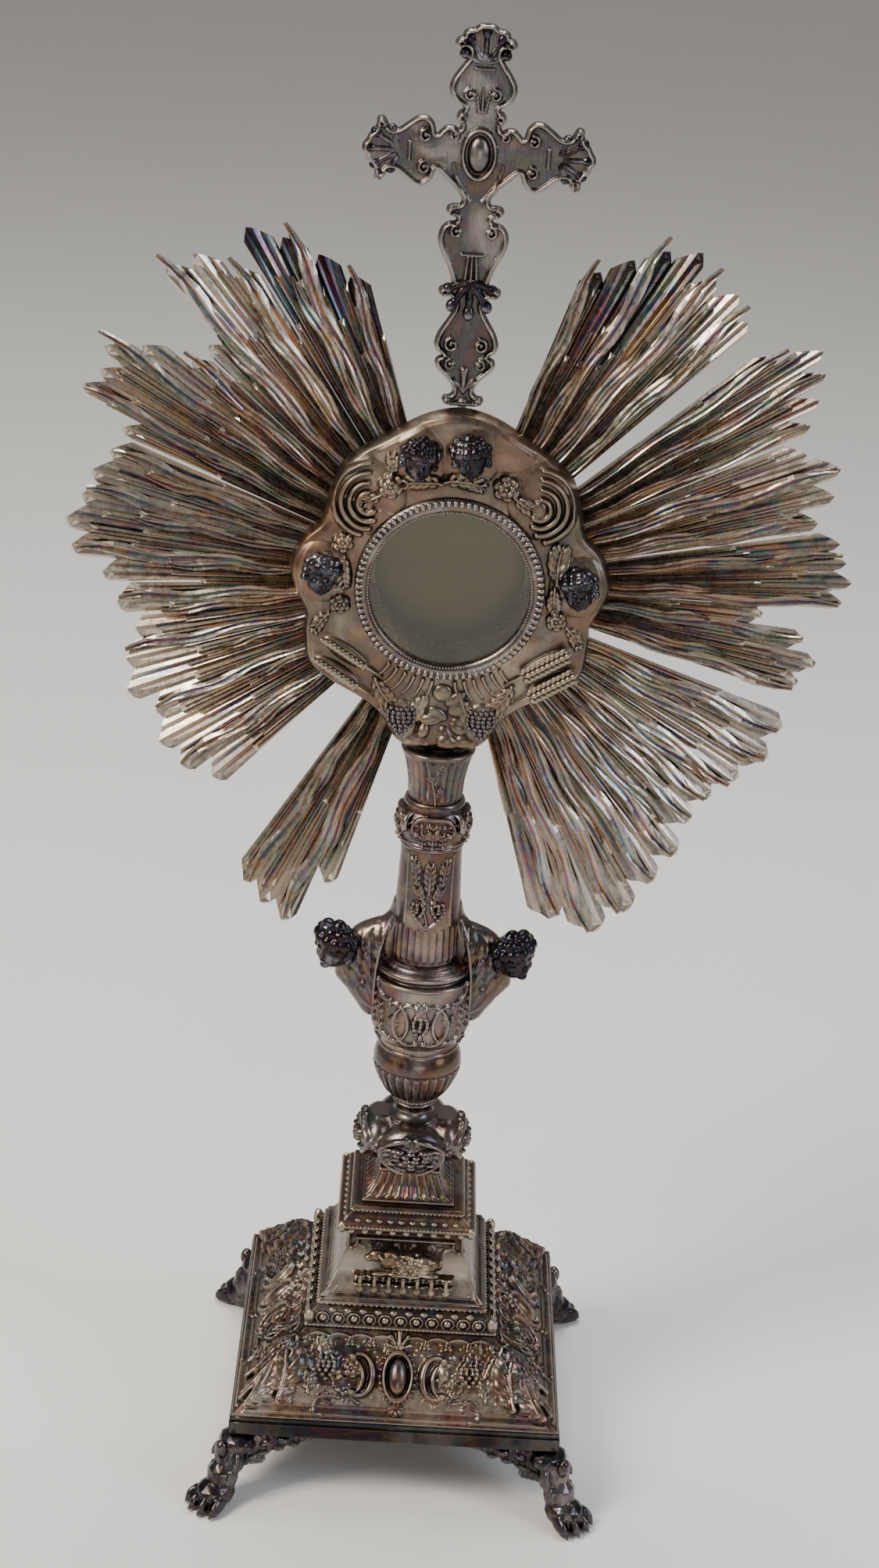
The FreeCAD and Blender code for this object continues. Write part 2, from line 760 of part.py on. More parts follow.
# Places of the head's screws about the case centre: direction and distance.
def screw_places():
    places = [polar(screw_circle, degrees) for degrees in (78, 102, 262, 278)]
    return places + [polar(cloud_reach * CLOUD_TOP - cross_sink * 0.5, 90)]


def build_cloud():
    shell = pad("cloud_front", cloud_outline(0), y_rim, cloud_depth, taper=-25)
    hollow = pad(
        "cloud_hollow", cloud_outline(sheet_wall), y_rim + 1, cloud_depth - sheet_wall + 1, taper=-25
    )
    opening = cylinder(hole_radius, y_front - 1, y_rim + 1, z=case_height, axis="y")
    bosses = []
    bores = [opening]
    y_boss = y_rim - cloud_depth + sheet_wall
    for i, (x, z) in enumerate(screw_places()):
        seat = y_rim if i == 4 else as_size(0)
        bosses.append(cylinder(boss_radius, y_boss, seat, x=x, z=z, axis="y"))
        bores.append(cylinder(screw_radius, y_boss, 1, x=x, z=z, axis="y"))
    floor = box(-60, 60, y_front - 1, y_rim + 2, case_height - 120, z_upper_top)
    keep("glory_front", cut(fuse(cut(shell, hollow), *bosses), *bores, floor))

    plate = pad("cloud_back", cloud_outline(back_inset), y_back, back_thick)
    tenon = cylinder(tenon_radius, z_upper_top - tenon_height, z_upper_top)
    block = box(-tenon_radius, tenon_radius, y_rim, y_back, z_upper_top, z_upper_top + 8)
    back_holes = [cylinder(hole_radius, -5, y_back + 1, z=case_height, axis="y")]
    for x, z in screw_places():
        back_holes.append(
            cylinder(screw_radius + fit_gap, -1, y_back + 1, x=x, z=z, axis="y")
        )
    back_holes.append(
        cylinder(stud_radius, -1, y_back + 1, x=-button_place, z=case_height, axis="y")
    )
    back_holes.append(
        cylinder(rod_radius + running_gap, z_upper_top - tenon_height - 1, z_upper_top - 1)
    )
    low = box(-60, 60, 0, y_back + 1, case_height - 120, z_upper_top)
    keep("glory_back", cut(fuse(cut(plate, low), tenon, block), *back_holes))

    ring = cut(
        cylinder(ring_radius, 0, ring_thick, z=case_height, axis="y"),
        cylinder(hole_radius, -1, ring_thick + 1, z=case_height, axis="y"),
        *[
            cylinder(screw_radius + fit_gap, -1, ring_thick + 1, x=x, z=z, axis="y")
            for x, z in screw_places()[:4]
        ],
        *[
            cylinder(stud_radius, -1, ring_thick + 1, x=-button_place, z=case_height, axis="y")
        ],
    )
    keep("ray_ring", ring)

    screws = []
    for x, z in screw_places():
        shank = cylinder(
            screw_radius - running_gap, y_front + sheet_wall + 2, y_back, x=x, z=z, axis="y"
        )
        head = cylinder(screw_radius * 1.8, y_back, y_back + 1.6, x=x, z=z, axis="y")
        screws.append(fuse(shank, head))
    keep("glory_screws", group(*screws))


# One flat fan per bundle: name, first and last direction, reach, and the share of that reach
# that each pointed step has, counted from the first direction.
BUNDLES = [
    ("01", -0.6, 11.5, 170.0, (0.98, 1.0, 0.985, 0.97)),
    ("02", 12.0, 26.8, 170.0, (0.92, 0.97, 1.0, 0.93)),
    ("03", 27.3, 41.5, 182.0, (0.9, 0.94, 0.98, 1.0, 0.91)),
    ("04", 45.0, 71.5, 173.0, (0.95, 0.98, 0.97, 1.0, 0.96, 0.9, 0.84)),
    ("05", 108.0, 123.6, 171.0, (0.8, 0.87, 0.94, 1.0)),
    ("06", 124.1, 139.0, 177.0, (0.9, 0.98, 1.0, 0.8)),
    ("07", 139.5, 158.6, 174.0, (0.82, 0.93, 1.0, 0.98, 1.0, 0.87)),
    ("08", 159.1, 183.8, 164.0, (0.93, 0.96, 0.97, 1.0, 0.98, 0.9)),
    ("09", 184.3, 227.0, 148.0, (0.96, 0.92, 0.97, 1.0, 0.95, 0.99, 0.98, 0.93)),
    ("10", 238.5, 254.0, 177.0, (0.95, 0.98, 1.0, 0.86)),
    ("11", 286.5, 340.8, 178.0, (0.93, 1.0, 0.98, 0.94, 0.91, 0.86, 0.85, 0.87, 0.9, 0.89)),
    ("12", 344.5, 358.9, 161.0, (0.97, 1.0, 0.95, 0.83)),
]


def build_rays():
    for name, first, last, reach_value, steps in BUNDLES:
        reach = size("ray_reach_" + name, reach_value)
        points = [polar(ray_root, last), polar(ray_root, first)]
        width = (last - first) / len(steps)
        for i, share in enumerate(steps):
            start = first + i * width
            points.append(polar(reach * (share * 0.93), start + width * 0.04))
            points.append(polar(reach * share, start + width * 0.45))
            points.append(polar(reach * (share * 0.91), start + width * 0.96))
        keep("ray_bundle_" + name, pad("ray_bundle_" + name, points, 0, ray_thick))


def build_case():
    """The round glazed case, its seat for the host holder, its rear door and the turn button."""
    y0 = y_front
    drum = [
        (drum_bore, y0),
        (drum_outer, y0),
        (drum_outer, y_back),
        (drum_outer + drum_flange, y_back),
        (drum_outer + drum_flange, y_back + sheet_wall),
        (drum_outer, y_back + sheet_wall),
        (drum_outer, drum_back),
        (drum_bore, drum_back),
    ]
    keep("luna_drum", turned("luna_drum", drum, axis="y", z=case_height))

    y_face = y0 - bezel_depth
    bezel = [
        (bezel_inner, y0),
        (bezel_inner, y0 - 1.6),
        (bezel_inner + 1.2, y_face + 1),
        (bezel_inner + 3, y_face),
        (bezel_outer - 1.8, y_face + 0.4),
        (bezel_outer, y0 - 1.8),
        (bezel_outer, y0),
    ]
    keep("bezel_ring", turned("bezel_ring", list(reversed(bezel)), axis="y", z=case_height))

    glass_radius = drum_bore - fit_gap
    glass_back = y0 + glass_thick
    keep("front_glass", cylinder(glass_radius, y0, glass_back, z=case_height, axis="y"))
    retainer = [
        (glass_radius - 2, glass_back),
        (glass_radius, glass_back),
        (glass_radius, glass_back + retainer_depth),
        (glass_radius - 1, glass_back + retainer_depth),
        (glass_radius - 1, glass_back + retainer_depth * 0.5),
        (glass_radius - 2, glass_back + retainer_depth * 0.5),
    ]
    keep("glass_retainer", turned("glass_retainer", retainer, axis="y", z=case_height))

    half_seat = seat_width * 0.5
    seat = box(
        -half_seat, half_seat, glass_back + retainer_depth + 0.5, glass_back + retainer_depth + 6.5,
        case_height - drum_bore - 1, case_height - drum_bore + 4,
    )
    channel = box(
        -half_seat - 1, half_seat + 1,
        glass_back + retainer_depth + 2.4, glass_back + retainer_depth + 4.6,
        case_height - drum_bore + 1.5, case_height - drum_bore + 5,
    )
    within = cylinder(drum_bore - running_gap, -20, 20, z=case_height, axis="y")
    keep("lunula_seat", common(cut(seat, channel), within))


def build_door():
    y_disc = y_door + door_thick * 0.5
    frame = [
        (door_inner, y_door),
        (door_outer, y_door),
        (door_outer, y_door_back),
        (door_inner, y_door_back),
        (door_inner, y_disc + door_disc_thick * 0.5 + 0.01),
        (door_inner + 1.5, y_disc + door_disc_thick * 0.5 + 0.01),
        (door_inner + 1.5, y_disc - door_disc_thick * 0.5 - 0.01),
        (door_inner, y_disc - door_disc_thick * 0.5 - 0.01),
    ]
    keep("door_frame", turned("door_frame", frame, axis="y", z=case_height))
    half = door_disc_thick * 0.5
    disc = [
        (0, y_disc - half),
        (door_inner + 1.45, y_disc - half),
        (door_inner + 1.45, y_disc + half),
        (6, y_disc + half),
        (3, y_disc + half + 0.6),
        (0, y_disc + half + 0.6),
    ]
    keep("door_disc", turned("door_disc", disc, axis="y", z=case_height))

    third = hinge_half_height * (1 / 3)
    low, high = case_height - hinge_half_height, case_height + hinge_half_height
    pin_hole = cylinder(
        hinge_pin_radius + running_gap, low - 1, high + 1, x=hinge_place, y=y_hinge
    )
    fixed = []
    for z0, z1 in ((low, case_height - third - 0.1), (case_height + third + 0.1, high)):
        fixed.append(cylinder(knuckle_radius, z0, z1, x=hinge_place, y=y_hinge))
        fixed.append(
            box(
                hinge_place + 0.7, hinge_place + knuckle_radius,
                y_back + leaf_thick * 0.5, y_hinge, z0, z1,
            )
        )
    x_foot = hinge_place + 1.5
    foot = box(x_foot, x_foot + 9, y_back, y_back + leaf_thick, low, high)
    keep("hinge_leaf_fixed", cut(fuse(foot, *fixed), pin_hole))

    knuckle = cylinder(
        knuckle_radius, case_height - third, case_height + third, x=hinge_place, y=y_hinge
    )
    strap = box(
        door_outer - 5, hinge_place, y_door_back, y_door_back + leaf_thick * 0.8,
        case_height - third, case_height + third,
    )
    keep("hinge_leaf_door", cut(fuse(knuckle, strap), pin_hole))
    keep(
        "hinge_pin",
        fuse(
            cylinder(hinge_pin_radius, low, high, x=hinge_place, y=y_hinge),
            cylinder(hinge_pin_radius * 1.7, high, high + 1.2, x=hinge_place, y=y_hinge),
        ),
    )

    y_button = y_door_back + slide_gap
    y_button_back = y_button + button_thick
    spot = {"z": case_height, "x": -button_place, "axis": "y"}
    hub = cylinder(button_hub, y_button, y_button_back, **spot)
    blade = box(
        -button_place - 2, -button_place + 2, y_button, y_button_back,
        case_height - button_length, case_height,
    )
    hole = cylinder(stud_radius + running_gap, y_button - 1, y_button_back + 1, **spot)
    keep("turn_button", cut(fuse(hub, blade), hole))
    end_play = 0.2
    stud = fuse(
        cylinder(stud_radius - running_gap, 0, y_back, **spot),
        cylinder(stud_radius + 1, y_back, y_button - end_play, **spot),
        cylinder(stud_radius, y_button - end_play, y_button_back + end_play, **spot),
        cylinder(stud_radius + 1.4, y_button_back + end_play, y_button_back + 1.4, **spot),
    )
    keep("turn_button_screw", stud)


def build_cloud_trim():
    """Cast heads, grape bunches and wheat ears soldered on the front of the cloud."""
    y_seat = y_front
    heads = []
    # The two upper heads sit side by side, left of the middle.
    places = (
        (106, trim_reach * 0.97), (85, trim_reach * 0.97),
        (176, side_trim_reach), (4, side_trim_reach),
    )
    for degrees, distance in places:
        x, z = polar(distance, degrees)
        heads.append(
            cut(
                ellipsoid(x, y_seat, z, 8.5, 7, 9.5),
                cylinder(30, y_seat, y_seat + 30, x=x, z=z, axis="y"),
            )
        )
    keep("cloud_cherub_heads", group(*heads))
    trim = []
    for sign in (-1, 1):
        trim.append(ellipsoid(17 * sign, y_seat, case_height - trim_reach, 6, 4, 8))
        for share, degrees in ((12.2 / 25.5, -37), (20.5 / 25.5, -42)):
            x, z = polar(bezel_outer + cloud_width * share, degrees)
            tilt = FreeCAD.Rotation(V(0, 1, 0), sign * 58)
            ear = ellipsoid(x * sign, y_seat, z, 2.5, 2.5, 10, tilt=tilt)
            trim.append(ear)
    kept = [cut(piece, box(-80, 80, y_seat, y_seat + 30, 300, 520)) for piece in trim]
    keep("grape_and_wheat_trim", group(*kept))


# The cross's right half from the foot up: sideways share of the half span, share of the height.
CROSS = [
    (0.055, 0.0), (0.19, 0.012), (0.17, 0.04), (0.12, 0.06), (0.263, 0.115), (0.19, 0.15),
    (0.28, 0.185), (0.22, 0.225), (0.16, 0.25), (0.257, 0.315), (0.15, 0.345), (0.24, 0.4),
    (0.31, 0.455), (0.2, 0.505), (0.24, 0.527), (0.19, 0.555), (0.3, 0.6), (0.36, 0.62),
    (0.42, 0.592), (0.58, 0.575), (0.7, 0.6), (0.78, 0.63), (0.86, 0.605), (1.0, 0.67),
    (0.86, 0.735), (0.78, 0.71), (0.7, 0.74), (0.58, 0.765), (0.42, 0.745), (0.35, 0.72),
    (0.21, 0.757), (0.15, 0.775), (0.283, 0.83), (0.24, 0.875), (0.14, 0.908), (0.24, 0.94),
    (0.17, 0.987), (0.0, 1.0),
]


def build_cross():
    z_foot = case_height + cloud_reach * CLOUD_TOP
    right = [(cross_span * u, z_foot + cross_height * v) for u, v in CROSS]
    left = [(-(cross_span * u), z_foot + cross_height * v) for u, v in reversed(CROSS[:-1])]
    plate = pad("cross_plate", right + left, cross_thick * 0.5, cross_thick)
    tongue = box(-4, 4, y_rim, ring_thick, z_foot - cross_sink, z_foot)
    boss_spot = {"x": 0, "z": z_foot + cross_height * 0.67, "axis": "y"}
    oval = cylinder(5, -cross_thick * 0.5 - 1.5, 0, **boss_spot)
    x, z = screw_places()[4]
    hole = cylinder(screw_radius + fit_gap, -5, 5, x=x, z=z, axis="y")
    keep("cross", cut(fuse(plate, tongue, oval), hole))


build_base()
build_feet()
build_lamb()
build_stem()
build_cherubs()
build_cloud()
build_rays()
build_case()
build_door()
build_cloud_trim()
build_cross()
doc.recompute()

# --- Checks and export --------------------------------------------------------------------------
for thing in doc.Objects:
    if "Invalid" in thing.State or "Error" in thing.State:
        raise RuntimeError(f"{thing.Name} ({thing.Label}) failed to build: {thing.State}")
os.makedirs("parts", exist_ok=True)
for name, thing in parts.items():
    shape = thing.Shape
    if shape.isNull() or not shape.isValid() or not shape.Solids:
        raise RuntimeError(f"{name} has no valid solid")
    shape.exportStep(f"parts/{name}.step")
print(len(parts), "parts written")
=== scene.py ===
import bmesh
import bpy
import math
import numpy as np
from mathutils import Euler, Matrix, Vector
from mathutils.geometry import delaunay_2d_cdt


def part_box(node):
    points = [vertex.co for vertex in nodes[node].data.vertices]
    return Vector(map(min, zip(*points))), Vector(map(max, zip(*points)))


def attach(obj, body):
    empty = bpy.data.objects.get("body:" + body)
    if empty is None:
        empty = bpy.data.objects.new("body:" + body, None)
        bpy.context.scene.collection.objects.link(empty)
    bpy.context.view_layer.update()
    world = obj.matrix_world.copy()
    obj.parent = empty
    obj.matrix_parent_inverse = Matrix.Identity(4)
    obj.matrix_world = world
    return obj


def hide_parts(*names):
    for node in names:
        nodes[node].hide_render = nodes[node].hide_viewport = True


# A silver-plated monstrance. The working model gives the frame; this script gives it its stamped
# and cast ornament, its tarnish and its light. Shapes are drawn in millimetres.

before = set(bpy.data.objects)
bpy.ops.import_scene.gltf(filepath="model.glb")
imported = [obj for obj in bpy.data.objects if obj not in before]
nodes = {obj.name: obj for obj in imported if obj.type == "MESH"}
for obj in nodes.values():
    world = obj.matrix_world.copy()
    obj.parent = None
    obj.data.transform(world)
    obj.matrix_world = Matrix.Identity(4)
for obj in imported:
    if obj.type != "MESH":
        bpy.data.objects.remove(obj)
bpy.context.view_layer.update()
MM = 0.001


def box_mm(node):
    """Lowest and highest corner of a part of the working model, in millimetres."""
    low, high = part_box(node)
    return np.array(low) / MM, np.array(high) / MM


def levels(node):
    """Foot, top and half width of a part of the working model, in millimetres."""
    low, high = box_mm(node)
    return low[2], high[2], high[0]


# ---------------------------------------------------------------- materials

def linear(code):
    """An sRGB hex colour as linear RGBA."""
    parts = [int(code[i:i + 2], 16) / 255 for i in (0, 2, 4)]
    return tuple(c / 12.92 if c <= 0.04045 else ((c + 0.055) / 1.055) ** 2.4 for c in parts) + (1,)


def add_node(tree, kind, settings=None, inputs=None, stops=None):
    """One node with its settings, and its inputs as values or as sockets to link from. A ramp's
    stops are (place, hex or grey) pairs."""
    node = tree.nodes.new(kind)
    for name, value in (settings or {}).items():
        setattr(node, name, value)
    for name, value in (inputs or {}).items():
        if isinstance(value, bpy.types.NodeSocket):
            tree.links.new(value, node.inputs[name])
        else:
            is_colour = node.inputs[name].type == "RGBA"
            node.inputs[name].default_value = linear(value) if is_colour else value
    if stops:
        elements = node.color_ramp.elements
        while len(elements) < len(stops):
            elements.new(0.5)
        for element, (place, colour) in zip(elements, stops):
            grey = not isinstance(colour, str)
            element.position = place
            element.color = (colour, colour, colour, 1) if grey else linear(colour)
    return node


def per_mm(size):
    """The scale of a pattern whose patches are size millimetres across."""
    return 1 / (size * MM)


def new_material(name):
    """A material, its tree, its shader and the socket that gives the place on the object."""
    material = bpy.data.materials.new(name)
    material.use_nodes = True
    tree = material.node_tree
    place = add_node(tree, "ShaderNodeTexCoord").outputs["Object"]
    return material, tree, tree.nodes["Principled BSDF"], place


# How a socket of a colour mix is numbered.
FACTOR, FIRST, SECOND, MIXED = 0, 6, 7, 2
COLOUR_MIX = {"data_type": "RGBA"}

# Thin-film colours of a silver sulphide skin, in the order they come as it thickens.
FILM = [
    (0.0, "C2B190"), (0.2, "C99A5C"), (0.34, "B0687C"), (0.46, "72639A"), (0.58, "639AA6"),
    (0.7, "A8B58E"), (0.82, "C48C84"), (1.0, "8C8596"),
]
# Patches of about this many millimetres: specks of the skin, pits of the plate, turning marks and
# the ripples of drawn glass.
SPECKS, PITS, MARKS, RIPPLES = 3.0, 0.8, 1.2, 14.0
# Where patches are drawn out from a centre, the radius in metres at which a turn counts as a
# length, and the share of the distance that counts.
TURN_RADIUS, DISTANCE_SHARE = 0.1, 0.16
COPPER = "B06A35"


def tarnished_silver(name, worn, skin, deep, film=0.3, warm=0.0, rough=0.3, patch=45.0,
                     brush=None, grain=0.24, painted_shade_reach=2.2, centre=None, edge_wear_and_highlight=0.8):
    """Electroplated silver left to sulphide: worn bright metal where it is touched and on its
    edges, where the edges also carry a painted highlight, a brown-grey skin between, painted shade
    near black in the recesses, and thin-film colours where it is thin. worn, skin and deep are its
    three colours, deep being the painted shade, and patch is the size of the skin's patches in mm.
    film, warm and rub are how much thin-film colour, bare copper and worn, highlighted edge show,
    and grain how deep the pits are. crease is how far the painted shade reaches out of a recess, in
    mm, and at 0 the curve alone finds a recess. brush is the scale of brushed strokes, and centre
    the height in mm of the point that the patches are drawn out from."""
    material, tree, shader, place = new_material(name)
    shader.inputs["Metallic"].default_value = 1.0

    flow = place
    if centre is not None:
        split = add_node(tree, "ShaderNodeSeparateXYZ", inputs={"Vector": place})
        up = add_node(
            tree, "ShaderNodeMath", {"operation": "SUBTRACT"},
            {0: split.outputs["Z"], 1: centre * MM},
        ).outputs[0]
        turn = add_node(
            tree, "ShaderNodeMath", {"operation": "ARCTAN2"}, {0: split.outputs["X"], 1: up}
        ).outputs[0]
        arc = add_node(
            tree, "ShaderNodeMath", {"operation": "MULTIPLY"}, {0: turn, 1: TURN_RADIUS}
        ).outputs[0]
        level = add_node(
            tree, "ShaderNodeCombineXYZ", inputs={"X": split.outputs["X"], "Z": up}
        ).outputs[0]
        far = add_node(
            tree, "ShaderNodeVectorMath", {"operation": "LENGTH"}, {0: level}
        ).outputs["Value"]
        short = add_node(
            tree, "ShaderNodeMath", {"operation": "MULTIPLY"}, {0: far, 1: DISTANCE_SHARE}
        ).outputs[0]
        flow = add_node(
            tree, "ShaderNodeCombineXYZ", inputs={"X": arc, "Y": split.outputs["Y"], "Z": short}
        ).outputs[0]

    cloud = add_node(
        tree, "ShaderNodeTexNoise",
        inputs={"Vector": flow, "Scale": per_mm(patch), "Detail": 6.0, "Roughness": 0.62,
                "Distortion": 0.6},
    ).outputs[0]
    fine = add_node(
        tree, "ShaderNodeTexNoise",
        inputs={"Vector": place, "Scale": per_mm(SPECKS), "Detail": 4.0, "Roughness": 0.6},
    ).outputs[0]
    colour = add_node(
        tree, "ShaderNodeValToRGB", inputs={0: cloud},
        stops=[(0.3, skin), (0.5, skin), (0.7, worn)],
    ).outputs[0]

    thick = add_node(
        tree, "ShaderNodeTexNoise",
        inputs={"Vector": flow, "Scale": per_mm(patch * 0.6), "Detail": 3.0, "Roughness": 0.5,
                "Distortion": 1.4},
    ).outputs[0]
    spread = add_node(
        tree, "ShaderNodeMapRange", inputs={0: thick, "From Min": 0.32, "From Max": 0.68}
    ).outputs[0]
    where = add_node(
        tree, "ShaderNodeValToRGB", inputs={0: fine}, stops=[(0.3, 0.35 * film), (0.65, film)]
    ).outputs[0]
    film_colour = add_node(tree, "ShaderNodeValToRGB", inputs={0: spread}, stops=FILM).outputs[0]
    colour = add_node(
        tree, "ShaderNodeMix", COLOUR_MIX, {FACTOR: where, FIRST: colour, SECOND: film_colour}
    ).outputs[MIXED]

    if warm:
        patchy = add_node(
            tree, "ShaderNodeTexNoise",
            inputs={"Vector": place, "Scale": per_mm(patch * 1.3), "Detail": 5.0},
        ).outputs[0]
        where = add_node(
            tree, "ShaderNodeValToRGB", inputs={0: patchy}, stops=[(0.45, 0.0), (0.68, warm)]
        ).outputs[0]
        colour = add_node(
            tree, "ShaderNodeMix", COLOUR_MIX, {FACTOR: where, FIRST: colour, SECOND: COPPER}
        ).outputs[MIXED]

    # Painted shade: ambient occlusion finds the recesses, and the deep colour is laid in them.
    if painted_shade_reach:
        shade = add_node(
            tree, "ShaderNodeAmbientOcclusion", {"samples": 6, "only_local": True},
            {"Distance": painted_shade_reach * MM},
        ).outputs["AO"]
        clear = add_node(
            tree, "ShaderNodeValToRGB", inputs={0: shade}, stops=[(0.3, 0.0), (0.9, 1.0)]
        ).outputs[0]
        colour = add_node(
            tree, "ShaderNodeMix", COLOUR_MIX, {FACTOR: clear, FIRST: deep, SECOND: colour}
        ).outputs[MIXED]
    edge = add_node(tree, "ShaderNodeNewGeometry").outputs["Pointiness"]
    # Painted shade: with no reach given, the deep colour is laid where the curve is hollow.
    if not painted_shade_reach:
        hollow = add_node(
            tree, "ShaderNodeValToRGB", inputs={0: edge}, stops=[(0.40, 0.95), (0.49, 0.0)]
        ).outputs[0]
        colour = add_node(
            tree, "ShaderNodeMix", COLOUR_MIX, {FACTOR: hollow, FIRST: colour, SECOND: deep}
        ).outputs[MIXED]
    # Worn metal with a painted highlight: the worn colour is laid where the surface is most
    # pointed, on its edges.
    edge_wear_and_highlight_mask = add_node(
        tree, "ShaderNodeValToRGB", inputs={0: edge}, stops=[(0.505, 0.0), (0.57, edge_wear_and_highlight)]
    ).outputs[0]
    colour = add_node(
        tree, "ShaderNodeMix", COLOUR_MIX, {FACTOR: edge_wear_and_highlight_mask, FIRST: colour, SECOND: worn}
    ).outputs[MIXED]
    tree.links.new(colour, shader.inputs["Base Color"])

    spots = add_node(
        tree, "ShaderNodeMapRange",
        inputs={0: fine, "From Min": 0.3, "From Max": 0.7, "To Min": rough - 0.06,
                "To Max": rough + 0.14},
    ).outputs[0]
    tree.links.new(spots, shader.inputs["Roughness"])

    if not grain:
        return material
    # Fine pits under a millimetre across; brushed grounds add straight strokes.
    pits = add_node(
        tree, "ShaderNodeTexNoise",
        inputs={"Vector": place, "Scale": per_mm(PITS), "Detail": 3.0},
    ).outputs[0]
    normal = add_node(
        tree, "ShaderNodeBump", inputs={"Strength": grain, "Distance": 0.12 * MM, "Height": pits}
    ).outputs[0]
    if brush:
        drawn = add_node(
            tree, "ShaderNodeMapping", inputs={"Vector": place, "Scale": brush}
        ).outputs[0]
        strokes = add_node(
            tree, "ShaderNodeTexNoise", inputs={"Vector": drawn, "Scale": 1.0, "Detail": 2.0}
        ).outputs[0]
        normal = add_node(
            tree, "ShaderNodeBump",
            inputs={"Strength": 0.55, "Distance": 0.2 * MM, "Height": strokes, "Normal": normal},
        ).outputs[0]
    tree.links.new(normal, shader.inputs["Normal"])
    return material


# The third colour of each finish below is painted shade, laid in its recesses.
# Stamped rays: thin plate with the strongest thin-film colours.
RAY_SILVER = tarnished_silver(
    "stamped ray silver", "C6BCAF", "6E655E", "161315", film=0.62, rough=0.25, patch=13.0,
    painted_shade_reach=0, centre=423.5,
)
# Cloud shell: thick brown-grey skin, dull, with gold where it has been wiped.
CLOUD_SILVER = tarnished_silver(
    "stamped cloud silver", "A69884", "62564A", "14100F", film=0.12, warm=0.14, rough=0.34,
    painted_shade_reach=3.2,
)
# Cross: grey plate with straight brushed grounds.
CROSS_SILVER = tarnished_silver(
    "brushed cross silver", "9D948A", "4F4945", "131114", film=0.1, rough=0.28,
    brush=(1700.0, 900.0, 60.0), painted_shade_reach=2.6,
)
# Cast figures: heavy, black-violet skin that was never wiped, sharp highlights.
CAST_SILVER = tarnished_silver(
    "cast dark silver", "77706F", "2C282D", "0B090C", film=0.08, rough=0.22, patch=18.0
)
# Stamped base: iridescent grounds with copper where the plate has gone.
BASE_SILVER = tarnished_silver(
    "stamped base silver", "A89B8D", "443B35", "0C0A09", film=0.2, warm=0.2, rough=0.29,
    painted_shade_reach=3.4,
)
# Stem: evenly brown-grey and handled smooth.
STEM_SILVER = tarnished_silver(
    "spun stem silver", "998D85", "463E3B", "100D0E", film=0.14, warm=0.1, rough=0.25,
    painted_shade_reach=2.6,
)
# Cast faces: the same dark skin, handled smooth.
HEAD_SILVER = tarnished_silver(
    "cast head silver", "8E8A90", "2A272E", "0A080B", film=0.05, rough=0.2, patch=20.0,
    grain=0.05, painted_shade_reach=1.2, edge_wear_and_highlight=0.0,
)
# Pedestal: dark flat plate between bright edges, worn and given a painted highlight.
PANEL_SILVER = tarnished_silver(
    "dark panel silver", "A2988D", "3A3430", "0B0909", film=0.1, warm=0.1, rough=0.36,
    painted_shade_reach=3.0,
)
# Lamb and book: the same casting with old gilding left in its hollows.
RELIEF_SILVER = tarnished_silver(
    "half gilt cast silver", "C4B9A2", "5E5344", "130F0A", film=0.05, warm=0.16, rough=0.25,
    patch=14.0, painted_shade_reach=1.6,
)
# Door plate behind the host: smooth, olive-grey.
DISC_SILVER = tarnished_silver(
    "smooth disc silver", "6F6B5C", "4B483C", "1C1A14", film=0.04, rough=0.34, patch=40.0,
    grain=0.0, painted_shade_reach=0,
)
# Plain bands: flat plate, almost black.
DARK_SILVER = tarnished_silver(
    "flat dark silver", "55504D", "1E1B1B", "080708", film=0.06, rough=0.26, patch=60.0
)
# Case: lighter spun plate.
CASE_SILVER = tarnished_silver(
    "spun case silver", "A89E94", "554C45", "131011", film=0.12, rough=0.26
)
# Fire-gilt inner ring, dulled.
GILT = tarnished_silver("dull gilt", "B09560", "6B5834", "1E170E", film=0.06, rough=0.3)


def flat_metal(name, colour, rough):
    """Plain machined metal: an even colour with faint turning marks."""
    material, tree, shader, place = new_material(name)
    shader.inputs["Metallic"].default_value = 1.0
    shader.inputs["Roughness"].default_value = rough
    marks = add_node(
        tree, "ShaderNodeTexNoise",
        inputs={"Vector": place, "Scale": per_mm(MARKS), "Detail": 3.0},
    ).outputs[0]
    tint = add_node(
        tree, "ShaderNodeMix", {"data_type": "RGBA", "blend_type": "MULTIPLY"},
        {FACTOR: marks, FIRST: colour, SECOND: "B4B0AC"},
    ).outputs[MIXED]
    tree.links.new(tint, shader.inputs["Base Color"])
    normal = add_node(
        tree, "ShaderNodeBump", inputs={"Strength": 0.3, "Distance": 0.05 * MM, "Height": marks}
    ).outputs[0]
    tree.links.new(normal, shader.inputs["Normal"])
    return material


# Rod, nut and washer: drawn steel, grey and even.
STEEL = flat_metal("drawn steel", "8A8A8C", 0.32)
# Screws and hinge pin: turned brass, dulled to ochre.
BRASS = flat_metal("turned brass", "B08E55", 0.3)


def window_glass():
    """Old flat crown glass with a faint olive cast and slow ripples."""
    material, tree, shader, place = new_material("old window glass")
    shader.inputs["Base Color"].default_value = linear("D6D4C2")
    shader.inputs["Transmission Weight"].default_value = 1.0
    shader.inputs["Roughness"].default_value = 0.02
    shader.inputs["IOR"].default_value = 1.5
    ripple = add_node(
        tree, "ShaderNodeTexNoise",
        inputs={"Vector": place, "Scale": per_mm(RIPPLES), "Detail": 1.0},
    ).outputs[0]
    normal = add_node(
        tree, "ShaderNodeBump", inputs={"Strength": 0.2, "Distance": 0.3 * MM, "Height": ripple}
    ).outputs[0]
    tree.links.new(normal, shader.inputs["Normal"])
    return material


GLASS = window_glass()


# ---------------------------------------------------------------- making meshes

